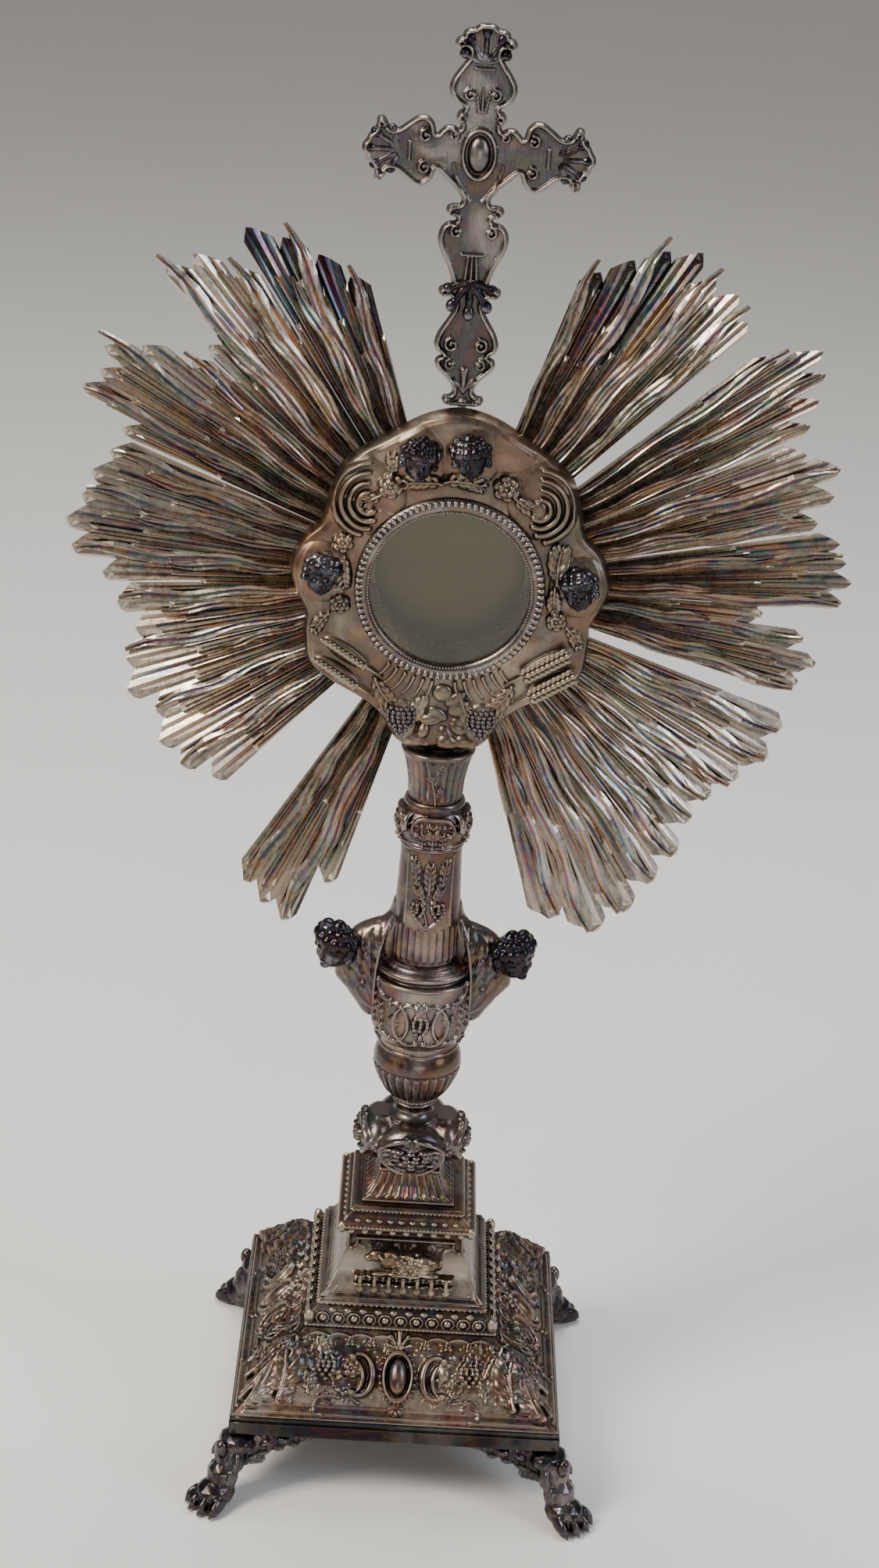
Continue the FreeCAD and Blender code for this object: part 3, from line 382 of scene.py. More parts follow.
def coat(mesh, material):
    """Give a mesh its one material."""
    mesh.materials.clear()
    mesh.materials.append(material)


def make_object(name, mesh, material):
    """An object in the scene, with a material unless it is None."""
    obj = bpy.data.objects.new(name, mesh)
    bpy.context.scene.collection.objects.link(obj)
    if material is not None:
        coat(mesh, material)
    return obj


def make_mesh(name, points, faces, material):
    """An object from points in millimetres and faces by index."""
    mesh = bpy.data.meshes.new(name)
    points = np.asarray(points, float) * MM
    mesh.from_pydata(points.tolist(), [], faces if isinstance(faces, list) else faces.tolist())
    mesh.validate()
    mesh.shade_smooth()
    return make_object(name, mesh, material)


def settle(obj):
    """Turn what the modifiers make into the object's own plain mesh."""
    graph = bpy.context.evaluated_depsgraph_get()
    mesh = bpy.data.meshes.new_from_object(obj.evaluated_get(graph), depsgraph=graph)
    obj.modifiers.clear()
    obj.data = mesh
    return obj


def join(name, objects, material=None):
    """Several objects as one."""
    bpy.ops.object.select_all(action="DESELECT")
    for obj in objects:
        obj.select_set(True)
    bpy.context.view_layer.objects.active = objects[0]
    bpy.ops.object.join()
    joined = objects[0]
    joined.name = name
    joined.data.name = name
    if material is not None:
        coat(joined.data, material)
    joined.select_set(False)
    return joined


# Points closer than this, in metres, are one.
MERGE = 0.000002
# Keeps a length off nought where it is divided by.
TINY = 1e-9


def outward(obj):
    """Merge doubles and turn every face outwards."""
    shape = bmesh.new()
    shape.from_mesh(obj.data)
    bmesh.ops.remove_doubles(shape, verts=shape.verts, dist=MERGE)
    bmesh.ops.recalc_face_normals(shape, faces=shape.faces)
    shape.to_mesh(obj.data)
    shape.free()
    return obj


def grid_faces(rows, columns):
    """Quads between rings of points stored ring by ring."""
    j, i = np.meshgrid(np.arange(rows - 1), np.arange(columns), indexing="ij")
    right = (i + 1) % columns
    quads = np.stack([j * columns + i, j * columns + right, (j + 1) * columns + right,
                      (j + 1) * columns + i], axis=-1)
    return quads.reshape(-1, 4)


def resample(corners, rows):
    """Points evenly spaced along straight runs between corners."""
    corners = np.asarray(corners, float)
    steps = np.hypot(*np.diff(corners, axis=0).T)
    along = np.concatenate([[0], np.cumsum(steps)])
    places = np.linspace(0, along[-1], rows)
    return np.stack([np.interp(places, along, corners[:, k]) for k in (0, 1)], axis=-1), places


def ringed(name, profile, material, draw=None, square=False, columns=96, rows=40, repeats=4,
           wall=1.5, swell=None, axis="z", middle=(0, 0, 0)):
    """A hollow ring-shaped or square piece from (half width, level) corners, lowest first. draw
    raises ornament on it: u runs round the piece from the middle of the front, v up its outline.
    swell(angle, level, radius) gives a radius that changes round the piece."""
    line, places = resample(profile, rows)
    run = np.gradient(line, axis=0)
    run /= np.hypot(*run.T)[:, None] + TINY
    reach, level = line[:, :1], line[:, 1:]
    if square:
        count = 4 * columns
        share = (np.arange(count) % columns) / columns * 2 - 1
        u = share[None, :] * reach
    else:
        count = columns
        angle = np.arange(count) / count * 2 * np.pi - np.pi
        part = 2 * np.pi / repeats
        u = ((angle + part / 2) % part - part / 2)[None, :] * reach.max() + 0 * reach
    out = np.repeat(reach, count, axis=1)
    if swell is not None:
        out = swell(angle[None, :], level, out)
    relief = Relief(u, np.repeat(places[:, None], count, axis=1))
    if draw is not None:
        draw(relief)
    out = out + relief.h * run[:, 1:]
    up = level - relief.h * run[:, :1]
    for half, height in (line[-1], line[0]):
        half = half - wall
        out = np.vstack([out, np.full(count, half)])
        up = np.vstack([up, np.full(count, height)])
    if square:
        side = np.arange(count) // columns
        x, y = share * out, -out
        for k in range(4):
            turned = side == k
            c, s = round(math.cos(k * math.pi / 2)), round(math.sin(k * math.pi / 2))
            x[:, turned], y[:, turned] = (
                c * x[:, turned] - s * y[:, turned], s * x[:, turned] + c * y[:, turned]
            )
    else:
        x, y = out * np.sin(angle), -out * np.cos(angle)
    points = [x, y, up] if axis == "z" else [x, up, -y]
    points = np.stack(points, axis=-1).reshape(-1, 3) + np.array(middle)
    return outward(make_mesh(name, points, closed_faces(rows + 2, count), material))


def closed_faces(rings, count):
    """Quads between rings, and from the last ring back to the first."""
    last = (rings - 1) * count
    i = np.arange(count)
    right = (i + 1) % count
    closing = np.stack([last + i, last + right, right, i], axis=-1)
    return np.vstack([grid_faces(rings, count), closing])


def away_from(outline, u, v):
    """Distance of each place to a closed outline."""
    best = np.full(u.shape, 1e9)
    ends = np.roll(outline, -1, axis=0)
    for a, b in zip(outline, ends):
        along = b - a
        t = np.clip(((u - a[0]) * along[0] + (v - a[1]) * along[1]) / (along @ along + TINY), 0, 1)
        best = np.minimum(best, np.hypot(u - a[0] - t * along[0], v - a[1] - t * along[1]))
    return best


def plate(name, outline, material, thick, edge, draw, spacing, rim=0.0, back=1.0):
    """A flat-lying casting in the XZ plane: rounded over at its outline, raised in front and, by
    the share back, behind. rim is the height of the ridge that runs along its outline."""
    outline = np.asarray(outline, float)
    low, high = outline.min(0), outline.max(0)
    across = np.arange(low[0] + spacing / 2, high[0], spacing)
    upward = np.arange(low[1] + spacing / 2, high[1], spacing * 0.87)
    gu, gv = np.meshgrid(across, upward)
    gu[1::2] += spacing / 2
    places = np.stack([gu.ravel(), gv.ravel()], axis=-1)
    places = places[away_from(outline, places[:, 0], places[:, 1]) > spacing * 0.45]
    points = [Vector(p) for p in np.vstack([outline, places]).tolist()]
    loop = list(range(len(outline)))
    flat = delaunay_2d_cdt(points, [], [loop], 1, 1e-5)
    flat_points = np.array([tuple(p) for p in flat[0]])
    faces = [list(f) for f in flat[2]]
    gap = away_from(outline, flat_points[:, 0], flat_points[:, 1])
    gap[gap < 1e-4] = 0
    relief = Relief(flat_points[:, 0], flat_points[:, 1])
    draw(relief)
    side = np.sqrt(np.clip(1 - (1 - np.minimum(gap / edge, 1)) ** 2, 0, 1))
    ridge = rim * np.exp(-(((gap - edge * 1.2) / (edge * 0.55)) ** 2))
    raised = (relief.h + ridge) * np.clip(gap / edge, 0, 1)
    front = -thick * side - raised
    behind = thick * side + raised * back
    count = len(flat_points)
    x, z = flat_points.T
    # The two sides share the points on the outline.
    number = np.arange(count)
    inside = gap > 0
    number[inside] = count + np.arange(inside.sum())
    points = np.vstack([
        np.stack([x, front, z], axis=-1), np.stack([x, behind, z], axis=-1)[inside]
    ])
    faces += [[int(number[i]) for i in reversed(f)] for f in faces]
    return outward(make_mesh(name, points, faces, material))


def smooth_line(points, per_span=6, closed=False):
    """A Catmull-Rom curve through given points."""
    points = np.asarray(points, float)
    count = len(points)
    spans = count if closed else count - 1
    result = []
    for i in range(spans):
        if closed:
            a, b, c, d = (points[(i + k - 1) % count] for k in range(4))
        else:
            a, b = points[max(i - 1, 0)], points[i]
            c, d = points[i + 1], points[min(i + 2, count - 1)]
        for step in range(per_span):
            s = step / per_span
            result.append(
                0.5 * (2 * b + (c - a) * s + (2 * a - 5 * b + 4 * c - d) * s * s
                       + (3 * b - a - 3 * c + d) * s ** 3)
            )
    if not closed:
        result.append(points[-1])
    return np.array(result)


def tube(name, path, radius, material, sides=8):
    """A round strand along a path; radius may be a list, and the ends are closed."""
    path = np.asarray(path, float)
    radii = np.broadcast_to(np.asarray(radius, float), (len(path),))
    forward = np.gradient(path, axis=0)
    forward /= np.linalg.norm(forward, axis=1)[:, None] + TINY
    side = np.cross(forward, [0.13, -1.0, 0.21])
    side /= np.linalg.norm(side, axis=1)[:, None] + TINY
    up = np.cross(side, forward)
    turn = np.linspace(0, 2 * np.pi, sides, endpoint=False)
    turn = turn[None, :, None]
    ring = side[:, None, :] * np.cos(turn) + up[:, None, :] * np.sin(turn)
    points = (path[:, None, :] + ring * radii[:, None, None]).reshape(-1, 3)
    faces = grid_faces(len(path), sides).tolist()
    faces.append(list(range(sides)))
    faces.append(list(range(len(points) - sides, len(points)))[::-1])
    return outward(make_mesh(name, points, faces, material))


def rounded(centre, radii, turn=None, detail=2):
    """Points and faces of an ellipsoid, for joining into castings."""
    bpy.ops.mesh.primitive_ico_sphere_add(subdivisions=detail, radius=1.0)
    obj = bpy.context.active_object
    matrix = Matrix.Diagonal((*[r * MM for r in radii], 1))
    if turn is not None:
        matrix = turn.to_4x4() @ matrix
    matrix = Matrix.Translation(Vector(centre) * MM) @ matrix
    obj.data.transform(matrix)
    return obj


def cast(name, lumps, material, voxel=0.6, smooth=3):
    """A casting: lumps joined, remeshed to one skin and smoothed."""
    obj = join(name, lumps, material)
    remesh = obj.modifiers.new("skin", "REMESH")
    remesh.mode = "VOXEL"
    remesh.voxel_size = voxel * MM
    remesh.use_smooth_shade = True
    soften = obj.modifiers.new("soften", "SMOOTH")
    soften.factor = 0.5
    soften.iterations = smooth
    settle(obj)
    coat(obj.data, material)
    obj.data.shade_smooth()
    return obj


# ---------------------------------------------------------------- raised ornament

def curl(start, heading, length, bend0, bend1, steps=22):
    """A line whose bend, in degrees per millimetre, grows from bend0 to bend1."""
    u, v = start
    angle = math.radians(heading)
    step = length / steps
    line = [(u, v)]
    for i in range(steps):
        share = (i + 0.5) / steps
        angle += math.radians((bend0 + (bend1 - bend0) * share ** 2) * step)
        u += step * math.cos(angle)
        v += step * math.sin(angle)
        line.append((u, v))
    return np.array(line)


class Relief:
    """A sheet raised from behind: places (u, v) in millimetres and a height at each."""

    def __init__(self, u, v):
        self.u = u
        self.v = v
        self.h = np.zeros_like(u)

    def near(self, low, high):
        """The places inside a box."""
        return np.nonzero(
            (self.u > low[0]) & (self.u < high[0]) & (self.v > low[1]) & (self.v < high[1])
        )

    def lift(self, where, height):
        """Raise the places to a height, unless they are higher."""
        self.h[where] = np.maximum(self.h[where], height)

    def boss(self, u, v, half_u, half_v, height, turn=0.0, round_to=0.5):
        """A domed oval."""
        reach = max(half_u, half_v)
        where = self.near((u - reach, v - reach), (u + reach, v + reach))
        c, s = math.cos(math.radians(turn)), math.sin(math.radians(turn))
        du, dv = self.u[where] - u, self.v[where] - v
        away = ((du * c + dv * s) / half_u) ** 2 + ((dv * c - du * s) / half_v) ** 2
        self.lift(where, height * np.clip(1 - away, 0, 1) ** round_to)

    def ring(self, u, v, half_u, half_v, width, height):
        """A rounded oval frame."""
        reach = max(half_u, half_v) + width
        where = self.near((u - reach, v - reach), (u + reach, v + reach))
        away = np.hypot((self.u[where] - u) / half_u, (self.v[where] - v) / half_v)
        off = (away - 1) * (half_u + half_v) * 0.5 / width
        self.lift(where, height * np.sqrt(np.clip(1 - off ** 2, 0, 1)))

    def strand(self, line, width, height, taper=(1.0, 0.4), belly=False):
        """A rounded raised line; taper scales its width at both ends, belly swells the middle."""
        line = np.asarray(line, float)
        reach = width * 1.1
        where = self.near(line.min(0) - reach, line.max(0) + reach)
        if not len(where[0]):
            return
        place = np.stack([self.u[where], self.v[where]], axis=-1)
        best = np.full(len(place), 1e9)
        share = np.zeros(len(place))
        spans = len(line) - 1
        for i in range(spans):
            a, along = line[i], line[i + 1] - line[i]
            t = np.clip(((place - a) @ along) / (along @ along + TINY), 0, 1)
            gap = np.hypot(*(place - a - t[:, None] * along).T)
            closer = gap < best
            best[closer] = gap[closer]
            share[closer] = (i + t[closer]) / spans
        wide = width * (taper[0] + (taper[1] - taper[0]) * share)
        if belly:
            wide = width * (0.15 + 0.85 * np.sin(np.pi * np.clip(share, 0.02, 0.98)) ** 0.7)
        off = best / wide
        rise = height * (0.45 + 0.55 * wide / width)
        self.lift(where, rise * np.sqrt(np.clip(1 - off ** 2, 0, 1)))

    def scroll(self, start, heading, length, bend0, bend1, width, height):
        """A tapering strand that rolls up into a small bead."""
        line = curl(start, heading, length, bend0, bend1)
        self.strand(line, width, height, (1.0, 0.55))
        self.boss(*line[-1], width * 1.15, width * 1.15, height * 1.15)

    def c_scroll(self, middle, heading, length, bend, tight, width, height):
        """A C: two scrolls from its middle, rolling up to the same side."""
        self.scroll(middle, heading, length, bend, tight, width, height)
        self.scroll(middle, heading + 180, length, -bend, -tight, width, height)

    def leaf(self, start, heading, length, width, bend, height, lobes=5):
        """An acanthus leaf: a bent midrib with lobes that sweep forwards from it."""
        rib = curl(start, heading, length, bend * 0.5, bend * 1.6)
        tips = np.gradient(rib, axis=0)
        for i in range(lobes):
            share = (i + 0.6) / (lobes + 0.4)
            at = int(share * (len(rib) - 1))
            ahead = math.degrees(math.atan2(tips[at][1], tips[at][0]))
            size = width * math.sin(math.pi * (0.15 + 0.8 * share)) ** 0.8
            for side in (-1, 1):
                lobe = curl(
                    rib[at], ahead + side * 58, size, -side * 40 / size, -side * 90 / size, 8
                )
                self.strand(lobe, size * 0.3, height * 0.75, belly=True)
        self.strand(rib, width * 0.17, height, (1.0, 0.3))

    def palmette(self, root, heading, length, spread, height, fingers=5):
        """A shell of rounded fingers that fan out from one root."""
        for i in range(fingers):
            off = (i - (fingers - 1) / 2) / ((fingers - 1) / 2)
            reach = length * (1 - 0.28 * off * off)
            finger = curl(root, heading + off * spread, reach, 0, off * 60 / reach, 8)
            self.strand(finger, reach * 0.19, height, (0.35, 1.0))
            self.boss(*finger[-1], reach * 0.2, reach * 0.2, height * 1.05)

    def grapes(self, u, v, width, length, berry, height, seed=3):
        """A hanging bunch of round berries."""
        pick = np.random.default_rng(seed)
        rows = int(length / (berry * 1.5))
        for row in range(rows):
            share = row / max(rows - 1, 1)
            half = width * math.sin(math.pi * (0.28 + 0.66 * share))
            count = max(1, round(half * 1.9 / (berry * 1.7)))
            for i in range(count):
                off = 0 if count == 1 else (i / (count - 1) - 0.5) * 2 * (half - berry * 0.6)
                tall = height * (1.15 - 0.35 * abs(off) / (width + 0.01))
                self.boss(
                    u + off + pick.uniform(-0.2, 0.2) * berry, v - row * berry * 1.5,
                    berry, berry, tall,
                )

    def rose(self, u, v, radius, height):
        """An open flower: rings of petals round a button."""
        for ring_share, petals, tall in ((0.68, 6, 0.7), (0.36, 5, 0.9)):
            for i in range(petals):
                angle = 2 * math.pi * i / petals + ring_share
                self.boss(
                    u + radius * ring_share * math.cos(angle),
                    v + radius * ring_share * math.sin(angle),
                    radius * 0.4, radius * 0.3, height * tall, math.degrees(angle) + 90,
                )
        self.boss(u, v, radius * 0.2, radius * 0.2, height)


# ---------------------------------------------------------------- pieces set out in numbers

def scatter_tree():
    """Sets copies of one small piece on points that carry its turn and its three sizes."""
    tree = bpy.data.node_groups.new("set small pieces out", "GeometryNodeTree")
    for label, kind in (
        ("Places", "NodeSocketGeometry"), ("Piece", "NodeSocketObject"),
        ("Size", "NodeSocketFloat"), ("Unevenness", "NodeSocketFloat"),
        ("Seed", "NodeSocketInt"), ("Finish", "NodeSocketMaterial"),
    ):
        tree.interface.new_socket(label, in_out="INPUT", socket_type=kind)
    tree.interface.new_socket("Pieces", in_out="OUTPUT", socket_type="NodeSocketGeometry")
    given = add_node(tree, "NodeGroupInput").outputs
    piece = add_node(tree, "GeometryNodeObjectInfo", inputs={"Object": given["Piece"]})
    turn = add_node(
        tree, "GeometryNodeInputNamedAttribute", {"data_type": "FLOAT_VECTOR"}, {"Name": "turn"}
    ).outputs[0]
    grow = add_node(
        tree, "GeometryNodeInputNamedAttribute", {"data_type": "FLOAT_VECTOR"}, {"Name": "grow"}
    ).outputs[0]
    rotation = add_node(tree, "FunctionNodeEulerToRotation", inputs={0: turn}).outputs[0]
    least = add_node(
        tree, "ShaderNodeMath", {"operation": "SUBTRACT"}, {0: 1.0, 1: given["Unevenness"]}
    ).outputs[0]
    chance = add_node(
        tree, "FunctionNodeRandomValue", {"data_type": "FLOAT"},
        {"Min": least, "Max": 1.0, "Seed": given["Seed"]},
    ).outputs["Value"]
    sized = add_node(
        tree, "ShaderNodeMath", {"operation": "MULTIPLY"}, {0: chance, 1: given["Size"]}
    ).outputs[0]
    scale = add_node(
        tree, "ShaderNodeVectorMath", {"operation": "SCALE"}, {0: grow, "Scale": sized}
    ).outputs[0]
    copies = add_node(
        tree, "GeometryNodeInstanceOnPoints",
        inputs={"Points": given["Places"], "Instance": piece.outputs["Geometry"],
                "Rotation": rotation, "Scale": scale},
    ).outputs[0]
    real = add_node(tree, "GeometryNodeRealizeInstances", inputs={0: copies}).outputs[0]
    finished = add_node(
        tree, "GeometryNodeSetMaterial", inputs={"Geometry": real, "Material": given["Finish"]}
    ).outputs[0]
    add_node(tree, "NodeGroupOutput", inputs={0: finished})
    return tree


def ring_tree():
    """Sets copies of one small piece evenly round a circle, each facing outwards."""
    tree = bpy.data.node_groups.new("set small pieces round", "GeometryNodeTree")
    for label, kind in (
        ("Base", "NodeSocketGeometry"), ("Piece", "NodeSocketObject"),
        ("Count", "NodeSocketInt"), ("Radius", "NodeSocketFloat"), ("Size", "NodeSocketFloat"),
        ("Lean", "NodeSocketVector"), ("Middle", "NodeSocketVector"),
        ("Finish", "NodeSocketMaterial"),
    ):
        tree.interface.new_socket(label, in_out="INPUT", socket_type=kind)
    tree.interface.new_socket("Pieces", in_out="OUTPUT", socket_type="NodeSocketGeometry")
    given = add_node(tree, "NodeGroupInput").outputs
    piece = add_node(tree, "GeometryNodeObjectInfo", inputs={"Object": given["Piece"]})
    circle = add_node(
        tree, "GeometryNodeMeshCircle",
        inputs={"Vertices": given["Count"], "Radius": given["Radius"]},
    ).outputs[0]
    number = add_node(tree, "GeometryNodeInputIndex").outputs[0]
    share = add_node(
        tree, "ShaderNodeMath", {"operation": "DIVIDE"}, {0: number, 1: given["Count"]}
    ).outputs[0]
    angle = add_node(
        tree, "ShaderNodeMath", {"operation": "MULTIPLY"}, {0: share, 1: 2 * math.pi}
    ).outputs[0]
    facing = add_node(tree, "ShaderNodeCombineXYZ", inputs={"Z": angle}).outputs[0]
    rotation = add_node(tree, "FunctionNodeEulerToRotation", inputs={0: facing}).outputs[0]
    copies = add_node(
        tree, "GeometryNodeInstanceOnPoints",
        inputs={"Points": circle, "Instance": piece.outputs["Geometry"], "Rotation": rotation,
                "Scale": given["Size"]},
    ).outputs[0]
    real = add_node(tree, "GeometryNodeRealizeInstances", inputs={0: copies}).outputs[0]
    leant = add_node(
        tree, "FunctionNodeEulerToRotation", inputs={0: given["Lean"]}
    ).outputs[0]
    moved = add_node(
        tree, "GeometryNodeTransform",
        inputs={"Geometry": real, "Translation": given["Middle"], "Rotation": leant},
    ).outputs[0]
    finished = add_node(
        tree, "GeometryNodeSetMaterial", inputs={"Geometry": moved, "Material": given["Finish"]}
    ).outputs[0]
    add_node(tree, "NodeGroupOutput", inputs={0: finished})
    return tree


SET_OUT = scatter_tree()
SET_ROUND = ring_tree()


def run_tree(name, base, tree, sizes):
    """What a tree makes of a base object with the given sizes, as a plain mesh."""
    modifier = base.modifiers.new("pieces", "NODES")
    modifier.node_group = tree
    for item in tree.interface.items_tree:
        if item.in_out == "INPUT" and item.name in sizes:
            modifier[item.identifier] = sizes[item.name]
    settle(base)
    base.name = base.data.name = name
    return base


def set_out(name, piece, places, finish, size=1.0, uneven=0.0):
    """Copies of a piece at (position in mm, turn, sizes)."""
    mesh = bpy.data.meshes.new(name)
    mesh.from_pydata([(np.array(p) * MM).tolist() for p, _, _ in places], [], [])
    for label, column in (("turn", 1), ("grow", 2)):
        attribute = mesh.attributes.new(label, "FLOAT_VECTOR", "POINT")
        values = np.array([np.broadcast_to(entry[column], 3) for entry in places], float)
        attribute.data.foreach_set("vector", values.ravel())
    base = make_object(name, mesh, None)
    return run_tree(name, base, SET_OUT, {
        "Piece": piece, "Size": size, "Unevenness": uneven, "Seed": 1, "Finish": finish,
    })


def set_round(name, piece, count, radius, finish, size=1.0, lean=(0, 0, 0), middle=(0, 0, 0)):
    """Copies of a piece evenly round a circle about a middle in mm."""
    base = make_object(name, bpy.data.meshes.new(name), None)
    return run_tree(name, base, SET_ROUND, {
        "Piece": piece, "Count": count, "Radius": radius * MM, "Size": size, "Lean": lean,
        "Middle": [c * MM for c in middle], "Finish": finish,
    })


def small_piece(name, points, faces):
    """A piece for setting out, kept off the object itself."""
    obj = outward(make_mesh(name, points, faces, None))
    patterns.append(obj)
    return obj


def turned_bead(name, rings, sides=8):
    """A small round piece standing on its origin along Z, from (radius, height) rings."""
    turn = np.arange(sides) / sides * 2 * np.pi
    points = [(r * np.cos(turn), r * np.sin(turn), np.full(sides, z)) for r, z in rings]
    points = np.stack([np.stack(p, axis=-1) for p in points]).reshape(-1, 3)
    faces = grid_faces(len(rings), sides).tolist()
    faces += [list(range(sides)), list(range(len(points) - sides, len(points)))]
    return small_piece(name, points, faces)


# Small pieces that are only copied, removed once everything is built.
patterns = []
# A ball of radius 1 mm, a grain 2 mm wide and 5 mm long, and a tongue-shaped leaf.
BALL = turned_bead("ball", [(0.35, -0.92), (0.85, -0.5), (1.0, 0.0), (0.85, 0.5), (0.35, 0.92)])
GRAIN = turned_bead(
    "grain", [(0.15, 0.0), (0.75, 0.9), (1.0, 2.2), (0.7, 3.8), (0.1, 5.0)], sides=6
)


def ray_blade(name, stations, across, wave, turns, tip, lean):
    """A ridged blade one unit long and one unit wide at its tip end, along X, its thickness in
    millimetres. across gives the (place, height) of its ridges and hollows; wave is how far it
    swings from side to side in widths, and turns how many times; its end is cut back by tip
    towards both edges from a point that leans to one side."""
    points = []
    for i in range(stations):
        t = i / (stations - 1)
        half = 0.26 + 0.74 * t
        swing = wave * math.sin(turns * 2 * math.pi * t + 0.7) * (0.4 + 0.6 * t)
        if wave:
            half *= 1.0 - 0.72 * max(0, (t - 0.7) / 0.3) ** 2.0
            half *= 0.86 + 0.14 * math.cos(turns * 4 * math.pi * t)
        for place, height in across:
            back = t ** 6 * tip * abs(place - lean) / (0.5 + abs(lean))
            points.append((t - back, -height, swing + half * place))
        points += [(t - back, 0.35, swing + half * 0.5), (t - back, 0.35, swing - half * 0.5)]
    ring = len(across) + 2
    faces = grid_faces(stations, ring).tolist()
    faces += [list(range(ring)), list(range(len(points) - ring, len(points)))]
    # Only the length and the width are in units; the thickness is in millimetres.
    points = np.array(points) * (1000, 1, 1000)
    return small_piece(name, points, faces)


# The blades' cross sections: (place across, height) of each ridge and hollow.
FLUTED = (
    (-0.5, 0.1), (-0.36, 1.5), (-0.18, 0.2), (0.0, 1.9), (0.18, 0.2), (0.36, 1.5), (0.5, 0.1),
)
RIDGED = ((-0.5, 0.1), (-0.26, 1.3), (0.02, 0.4), (0.26, 1.5), (0.5, 0.1))
STRAIGHT = ray_blade("straight blade", 6, FLUTED, 0.0, 0, 0.075, -0.12)
NARROW = ray_blade("narrow blade", 5, RIDGED, 0.0, 0, 0.05, 0.5)
FLAME = ray_blade("flame blade", 22, RIDGED, 0.17, 2.4, 0.0, 0.0)


def finish_piece(piece, body, slot, *replaced):
    """Tie a finished piece to its body and hide the parts of the working model it shows. slot is
    not used.
    """
    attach(piece, body)
    if replaced:
        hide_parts(*replaced)
    return piece


# ---------------------------------------------------------------- head

drum_low, drum_high = box_mm("luna_drum")
CASE_X, CASE_Z = 0.0, (drum_low[2] + drum_high[2]) / 2
CLOUD_FACE = box_mm("glory_front")[0][1]
CLOUD_RIM = -2.0
CLOUD_REACH = 64.0
CLOUD_TOP = 1.185
# The right half of the cloud's outline: direction and share of its reach, from foot to top.
CLOUD = [
    (-90, 1.172), (-77, 1.17), (-67, 1.035), (-57, 1.0), (-44, 1.045), (-33, 1.085), (-22, 1.02),
    (-14, 0.975), (-5, 1.02), (4, 1.06), (15, 1.02), (25, 0.95), (36, 1.01), (47, 1.08), (58, 1.09),
    (70, 1.115), (80, 1.16), (90, CLOUD_TOP),
]
# The heads on the cloud: direction, distance and the way each leans.
CLOUD_HEADS = (
    (106, 58.2, (0.18, 0.14, 0.22)), (85, 58.2, (0.18, -0.14, -0.2)),
    (176, 54, (0.0, 0.3, 0.35)), (4, 54, (0.0, -0.3, -0.35)),
)
# The wheat ears: distance, direction below level and tilt.
EARS = ((52.3, -37), (60.6, -42))
EAR_TILT = 58


def on_head(radius, degrees, y):
    """A place on the head about the case centre."""
    angle = math.radians(degrees)
    return (CASE_X + radius * math.cos(angle), y, CASE_Z + radius * math.sin(angle))


# First and last direction, reach, and each pointed step's share of the reach.
BUNDLES = {
    "01": (-0.6, 11.5, 170.0, (0.98, 1.0, 0.985, 0.97)),
    "02": (12.0, 26.8, 170.0, (0.92, 0.97, 1.0, 0.93)),
    "03": (27.3, 41.5, 182.0, (0.9, 0.94, 0.98, 1.0, 0.91)),
    "04": (45.0, 71.5, 173.0, (0.95, 0.98, 0.97, 1.0, 0.96, 0.9, 0.84)),
    "05": (108.0, 123.6, 171.0, (0.8, 0.87, 0.94, 1.0)),
    "06": (124.1, 139.0, 177.0, (0.9, 0.98, 1.0, 0.8)),
    "07": (139.5, 158.6, 174.0, (0.82, 0.93, 1.0, 0.98, 1.0, 0.87)),
    "08": (159.1, 183.8, 164.0, (0.93, 0.96, 0.97, 1.0, 0.98, 0.9)),
    "09": (184.3, 227.0, 148.0, (0.96, 0.92, 0.97, 1.0, 0.95, 0.99, 0.98, 0.93)),
    "10": (238.5, 254.0, 177.0, (0.95, 0.98, 1.0, 0.86)),
    "11": (286.5, 340.8, 178.0, (0.93, 1.0, 0.98, 0.94, 0.91, 0.86, 0.85, 0.87, 0.9, 0.89)),
    "12": (344.5, 358.9, 161.0, (0.97, 1.0, 0.95, 0.83)),
}
RAY_ROOT = 42.0
# How far in front of the middle plane the layers of a bundle lie: broad blades, the first narrow
# ridges and the step to each next one, and the inner and outer flames.
BLADE_AT, RIDGE_AT, RIDGE_STEP, FLAME_AT, TOP_FLAME_AT = -0.1, -0.8, -0.35, -1.5, -2.0
# Flames on the upper half reach past their blades, the others stop short of the tips.
LONG_FLAME, SHORT_FLAME = 1.025, 0.985


